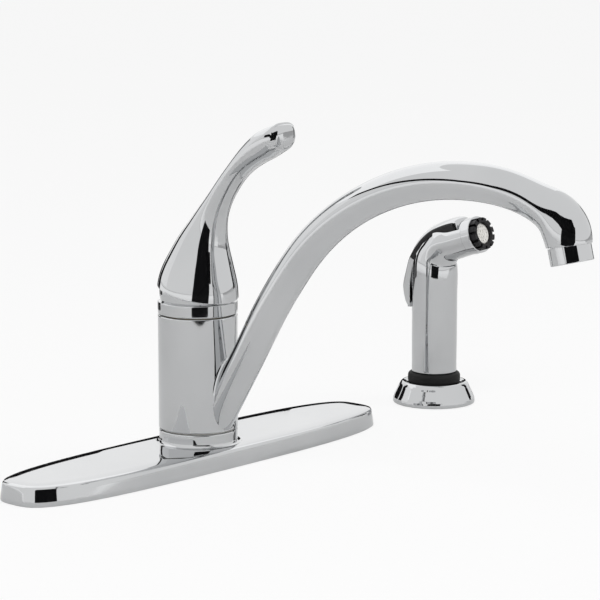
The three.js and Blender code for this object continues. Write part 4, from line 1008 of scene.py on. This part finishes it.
def head_point(along, above):
    """(y, z) of a point by its place along the head's axis and above it."""
    return (-along * math.cos(HEAD_TURN) + above * math.sin(HEAD_TURN),
            HEAD_HEIGHT + along * math.sin(HEAD_TURN) + above * math.cos(HEAD_TURN))


def on_head(*places):
    """A row of points on the head, each given along its axis and above it."""
    return [head_point(*place) for place in places]


def on_grip(*places):
    """A row of points by the grip, each given behind its back and in height."""
    return [(GRIP + behind, height) for behind, height in places]


WAND = [  # forward, height, radius
    (0, FOOT, 12.9), (0, 19.15, 13.25), (0, 19.8, GRIP), (0, 34, GRIP), (0, 52, GRIP), (0, 68, GRIP),
    (0, 79.6, GRIP), (0.4, 86.6, 12.9), (3.2, 91.6, 12.2)]
for along, radius in ((8.6, 11.8), (15, 11.1), (22, 10.7), (28.5, 10.5)):
    y, z = head_point(along, 0)
    WAND.append((-y, z, radius))


def wand_rings(sides=112, count=200):
    line = even_curve(WAND, count)
    middle, upward, travel = frames_along(line)
    middle[:, 0] += SPRAY[0]
    angles = (np.arange(sides) * 2 * math.pi / sides)[:, None]
    rings = [c + radius * (np.cos(angles) * ACROSS + np.sin(angles) * u)
             for c, u, radius in zip(middle, upward, line[:, 2])]
    face = rings[-1] - middle[-1]
    rings += [middle[-1] + face * scale + travel[-1] * rise for scale, rise in FRONT_FACE]
    foot = (rings[0] - middle[0]) / WAND[0][2]
    bore = [middle[0] + foot * radius + np.array([0, 0, rise])
            for radius, rise in ((FOOT_BORE, 11), (FOOT_BORE, 0.3), (FOOT_TURNED_IN, 0))]
    return [ring * MM for ring in bore + rings]


def smooth_row(points, count):
    """A smooth row through points of (y, z)."""
    return even_curve(np.column_stack([points, np.zeros(len(points))]), count)[:, :2]


def plank(name, flat, half_width):
    """A straight-sided block with a side outline (y, z), centred on the spray's middle plane."""
    rings = [[((SPRAY[0] + x) * MM, y * MM, z * MM) for y, z in flat] for x in (-half_width, half_width)]
    return solid(name, *skin(rings, "plate", "plate"), "chrome")


slot_floor = on_head((27.6, 0.4), (15, 0.4), (7.4, 2.4), (0.9, 1))
slot_floor += on_grip((-10.2, 91.2), (-8.4, 85), (-6.8, 78), (-6, 70), (-5.8, 60), (-6.4, 49.6))
floor_length = np.linalg.norm(np.diff(slot_floor, axis=0), axis=1).sum()
slot = list(smooth_row(slot_floor, int(floor_length))) + [(40, 49.6), (40, 140), head_point(27.6, 40)]
shoulder = on_head((27.6, 40), (27.6, 5.2), (15, 5.2), (6, 5.4), (-3, 3.5)) + [(9.5, 88), (40, 88), (40, 140)]
bend = on_head((8, 40), (8, 5.2), (-1, 2.4)) + [(4.8, 91), (6.8, 85.6), (40, 85.6), (40, 140)]
wand = solid("wand_skin", *skin(wand_rings()), "chrome")
for name, flat, half_width in (("slot_block", slot, SLOT_HALF), ("shoulder_block", shoulder, SHOULDER_HALF),
                               ("bend_block", bend, BEND_HALF)):
    combine(wand, plank(name, flat, half_width), "DIFFERENCE")
fit(smooth_by(wand, 32), "wand", "wand_shell")

# %% [markdown]
# ## Side spray: trigger
# The trigger lies in the slot, stands a little proud of the grip and wraps over the shoulder. Its back
# is crowned across, so a thumb slides over it. The side outline is carried across the width, and each
# step towards a side is drawn in a little more, first slowly for the crown and then fast for the
# rounded edge. Over the shoulder its sides are painted black with the black moulding finish: painted
# shade for the dark gap line beside the slot.

# %% Trigger
TRIGGER_HALF, TRIGGER_EDGE, ROW_COUNT = 8.5, 0.7, 110
CROWN_LOW, CROWN_MORE, CROWN_POWER = 1.3, 2.5, 2.3
# Where the trigger's sides are painted black as painted shade for the dark gap line: above a height, past a
# distance from the middle, on faces that lean sideways.
SHADE_PAINTED_FROM, SHADE_PAINTED_SIDE, SHADE_PAINTED_TURN = 86.2, 7.75, 0.5  # height, distance from the middle, sideways lean
SHOULDER_FROM, SHOULDER_RISE = 84, 14  # heights between which the crown grows
TRIGGER_BACK = on_grip((0.4, 56.4), (2.6, 58.6), (4.4, 63), (5.3, 67.6), (5, 72.6), (3.6, 78), (2.1, 83.5),
                       (0.5, 89), (-2.2, 95.4), (-7.2, 101.4))
TRIGGER_BACK += on_head((4.2, 11.7), (13.9, 13.1), (20, 13.3), (24.6, 12.7), (26.4, 11.7), (27, 9.6))
TRIGGER_FRONT = on_head((26.9, 1.8), (15, 1.4), (8, 4.2), (1.3, 4.2))
TRIGGER_FRONT += on_grip((-8.4, 93.6), (-6, 87.6), (-4, 84.6), (-2.6, 80), (-1.2, 72), (-1, 64), (-1.1, 56.9))


def drawn_in(flat, amount):
    """A side outline moved in square to itself, whichever way round it is listed."""
    ahead, behind = np.roll(flat, -1, axis=0), np.roll(flat, 1, axis=0)
    along = ahead - behind
    along /= np.linalg.norm(along, axis=1)[:, None]
    square = np.column_stack([-along[:, 1], along[:, 0]])
    area = np.sum(flat[:, 0] * ahead[:, 1] - ahead[:, 0] * flat[:, 1])
    return flat + square * (amount if area > 0 else -amount)[:, None]


def trigger_piece():
    flat = np.vstack([smooth_row(TRIGGER_BACK, ROW_COUNT), smooth_row(TRIGGER_FRONT, ROW_COUNT)])
    is_back = np.repeat([1.0, 0.0], ROW_COUNT)
    for _ in range(5):
        is_back = is_back * 0.5 + 0.25 * (np.roll(is_back, 1) + np.roll(is_back, -1))
    high_up = np.clip((flat[:, 1] - SHOULDER_FROM) / SHOULDER_RISE, 0, 1)
    high_up = high_up * high_up * (3 - 2 * high_up)
    rings = []
    for x in TRIGGER_HALF * np.sin(math.pi / 2 * np.linspace(-1, 1, 45)):
        crown = (CROWN_LOW + CROWN_MORE * high_up) * abs(x / TRIGGER_HALF) ** CROWN_POWER
        over = max(0.0, abs(x) - TRIGGER_HALF + TRIGGER_EDGE)
        edge = TRIGGER_EDGE - math.sqrt(max(0.0, TRIGGER_EDGE ** 2 - over ** 2))
        moved = drawn_in(flat, is_back * crown + edge)
        rings.append(np.column_stack([np.full(len(flat), SPRAY[0] + x), moved]) * MM)
    points, faces = skin(rings, "open", "open")
    # The side faces are laddered from the back row to the front row, so each rung can have its own finish:
    # chrome, or black as painted shade.
    for start in (0, len(points) - len(flat)):
        end = start + len(flat) - 1
        faces += [(start + i, start + i + 1, end - 1 - i, end - i) for i in range(ROW_COUNT - 1)]
    return points, faces


trigger = smooth_by(solid("trigger_skin", *trigger_piece(), "chrome"), 40)
# The black moulding finish goes on the sides over the shoulder as painted shade, the dark gap line beside the
# slot.
trigger.data.materials.append(FINISHES["black_plastic"])
for face in trigger.data.polygons:
    in_painted_shade = abs(face.center.x / MM - SPRAY[0]) > SHADE_PAINTED_SIDE and abs(face.normal.x) > SHADE_PAINTED_TURN
    face.material_index = int(in_painted_shade and face.center.z > SHADE_PAINTED_FROM * MM)
fit(trigger, "trigger", "spray_trigger")

# %% [markdown]
# ## Side spray: nozzle
# The head ends in a chrome collar, a black ring with twelve notches for the fingers and a pale face with
# rings of jets. They are turned about the head's own axis, which rises 17 degrees.

# %% Nozzle
NOZZLE, NOZZLE_TILT = (SPRAY[0], 0, HEAD_HEIGHT), math.radians(90) - HEAD_TURN
NOTCH_COUNT, NOTCH_START, RING_RADIUS, JET_RADIUS = 12, math.radians(24), 9.5, 0.36
JET_START = 0.02  # off the face's own rows of points, so that no jet is cut along one


def on_axis(distance):
    y, z = head_point(distance, 0)
    return (SPRAY[0], y, z)


def nozzle_piece(name, profile, finish_name, count, ends="join"):
    return turned(name, profile, finish_name, count, NOZZLE, NOZZLE_TILT, ends)


collar = [(7.1, 28.6), (10.55, 28.6), (10.8, 28.9), (10.8, 34.8), (7.1, 34.8)]
collar = rounded(collar, 0.45, keep=(0, 1, 2, 4))
fit(nozzle_piece("nose_collar_skin", collar, "chrome", 128), "wand", "nose_collar")

ring = [(6.2, 34.9), (RING_RADIUS, 34.9), (RING_RADIUS, 38.3), (6.7, 38.3), (6.2, 37.6)]
ring = nozzle_piece("nozzle_ring_skin", rounded(ring, 0.5, keep=(0, 1, 3, 4)), "black_plastic", 144)
square = [(-0.85, -1.7), (0.85, -1.7), (0.85, 2.0), (-0.85, 2.0)]
rings = [[(x * MM, y * MM, z * MM) for x, y in square] for z in (-3, 6)]
notch = solid("notch_block", *skin(rings, "plate", "plate"), "steel")
cut_round(ring, notch, NOTCH_COUNT, RING_RADIUS, NOTCH_START, on_axis(36.6), NOZZLE_TILT, "black_plastic")
bpy.data.objects.remove(notch)
fit(smooth_by(ring, 30), "wand", "nozzle_ring")

face = [(0.8, 29.5), (6.05, 29.5), (6.05, 36.4), (5.4, 36.6), (3.2, 36.2), (0.8, 36.5)]
face = nozzle_piece("spray_face_skin", rounded(face, 0.3, keep=(0, 1, 5)), "pale_plastic", 96, "plate")
jet = turned("jet_pin", [(JET_RADIUS, -2.5), (JET_RADIUS, 3)], "steel", 16, ends="plate")
for jets, ring_radius in ((6, 1.9), (12, 4.3)):
    cut_round(face, jet, jets, ring_radius, JET_START, on_axis(36.4), NOZZLE_TILT, "pale_plastic")
bpy.data.objects.remove(jet)
fit(smooth_by(face, 30), "wand", "spray_face")

# %% [markdown]
# ## Studs, tails and set screw
# Below the deck, the two studs and the three water tails get real threads. A stud's head is a hexagon,
# so its rings are drawn in between six corners. The lever's set screw shows its socket in the small hole at
# the back.

# %% Studs
HOLE_SPACING, HEAD_LOW, HEAD_HIGH = 101.6, 5.75, 8


def hexed(ring, x):
    """A turned ring of the stud's head, drawn in to a hexagon whose corners keep the radius."""
    ring = np.array(ring)
    if HEAD_LOW <= ring[0][2] / MM <= HEAD_HIGH:
        flat = ring[:, :2] - [x * MM, 0]
        angle = np.arctan2(flat[:, 1], flat[:, 0])
        share = math.cos(math.pi / 6) / np.cos((angle + math.pi / 6) % (math.pi / 3) - math.pi / 6)
        ring[:, :2] = flat * share[:, None] + [x * MM, 0]
    return ring


for side, x in (("left", -HOLE_SPACING), ("right", HOLE_SPACING)):
    profile = [(0.5, 7.9), (6.9, 7.9), (7.5, 7.5), (7.5, 5.8), (4.0, 5.8)]
    profile += [(4.0, z) for z in np.arange(5.0, -51.3, -0.16)] + [(3.4, -52), (0.5, -52)]
    rings = [hexed(ring, x) for ring in turn(profile, 72, (x, 0, 0))]
    stud = solid(side + "_stud_skin", *skin(rings), "steel", crease=60)
    threaded(stud, "steel", x, 0, pitch=1.25, depth=0.65, low=-51.3, high=4.5)
    fit(smooth_by(stud, 50), "deck_side", side + "_stud")

# %% Water tails
TAIL_BORE, TAIL_RADIUS, COLLAR_OUT, COLLAR_DROP, COLLAR_LENGTH = 3.4, 4.8, 6.2, 15.5, 4.7
for name in ("hot_supply_tail", "cold_supply_tail", "spray_outlet_tail"):
    low, high = (np.array(corner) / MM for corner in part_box(name))
    (x, y), bottom, top = (low[:2] + high[:2]) / 2, low[2], high[2]
    rim = top - COLLAR_DROP
    profile = [(TAIL_BORE, bottom), (4.6, bottom), (TAIL_RADIUS, bottom + 0.3)]
    profile += [(TAIL_RADIUS, z) for z in np.arange(bottom + 0.5, bottom + 15, 0.15)]
    over = rim + COLLAR_LENGTH
    profile += [(TAIL_RADIUS, rim), (6.0, rim), (COLLAR_OUT, rim + 0.3), (COLLAR_OUT, over - 0.3),
                (6.0, over), (TAIL_RADIUS, over), (TAIL_RADIUS, top), (TAIL_BORE, top)]
    tail = turned(name + "_skin", profile, "copper", 72, (x, y, 0), crease=60)
    threaded(tail, "copper", x, y, pitch=1.4, depth=0.5, low=bottom + 0.6, high=bottom + 14.5)
    fit(smooth_by(tail, 50), "deck_side", name)

# %% Set screw
screw = [(0.3, 3.8), (1.6, 3.8), (1.9, 4.1), (1.9, 9.0), (1.6, 9.3), (1.1, 9.3), (1.1, 6.8), (0.3, 6.5)]
rings = turn(screw, 48, (0, 0, PIVOT + SCREW_RISE), -math.pi / 2)
fit(solid("set_screw_skin", *skin(rings), "steel", crease=30), "handle", "handle_set_screw")

# %% [markdown]
# ## Springs
# A coil spring is a wire on a helix. A third tree makes it: it turns a row of points into a curve and
# carries a small circle along it. The first and last turns lie close, as on a ground end.

# %% Wires
def sweep_tree():
    tree, given, real = tree_of("tube_along_line", {"Sides": ("Int", 14), "Wire": ("Float", 0.0003)})
    curve = add(tree, "GeometryNodeMeshToCurve", {"Mesh": given["Geometry"]})
    ring = add(tree, "GeometryNodeCurvePrimitiveCircle", {
        "Resolution": given["Sides"], "Radius": given["Wire"]}, mode="RADIUS")
    tube = add(tree, "GeometryNodeCurveToMesh", {
        "Curve": curve.outputs["Curve"], "Profile Curve": ring.outputs["Curve"], "Fill Caps": True})
    smooth = add(tree, "GeometryNodeSetShadeSmooth", {"Geometry": tube.outputs["Mesh"]})
    feed(tree, real, {"Geometry": smooth.outputs["Geometry"]})
    return tree


SWEEP = sweep_tree()
print("wires ready")

# %% Springs
STEPS_PER_TURN, WIRE_SIDES, END_CLOSENESS = 28, 14, 0.8


def spring(node, body, turns, wire):
    """A spring along the y axis that fills the box of its CAD node."""
    low, high = np.array(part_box(node)) / MM
    middle, radius = (low + high) / 2, (high[0] - low[0]) / 2 - wire
    share = np.linspace(0, 1, turns * STEPS_PER_TURN + 1)
    angle = share * turns * 2 * math.pi
    along = share - END_CLOSENESS * np.sin(2 * math.pi * share) / (2 * math.pi)
    points = np.column_stack([middle[0] + radius * np.cos(angle),
                              low[1] + wire + (high[1] - low[1] - 2 * wire) * along,
                              middle[2] + radius * np.sin(angle)])
    line = bpy.data.meshes.new(node)
    line.from_pydata([tuple(p) for p in points * MM], [(i, i + 1) for i in range(len(points) - 1)], [])
    coil = add_object(node + "_skin", line)
    run_tree(coil, SWEEP, "steel", {"Sides": WIRE_SIDES, "Wire": wire * MM})
    fit(coil, body, node)
    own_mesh(coil)


spring("diverter_spring", "deck_side", 5, 0.3)
spring("poppet_spring", "wand", 6, 0.36)

# %% [markdown]
# ## Finish
# The box of the solids and the box of everything shown are printed side by side. Nothing here may grow
# past the box of the solids.

# %% Finish
SHOWN_BOX = [list(corner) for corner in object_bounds()]
for label, box in (("solids", CAD_BOX), ("shown", SHOWN_BOX)):
    print(label, [[round(value / MM, 2) for value in corner] for corner in box])
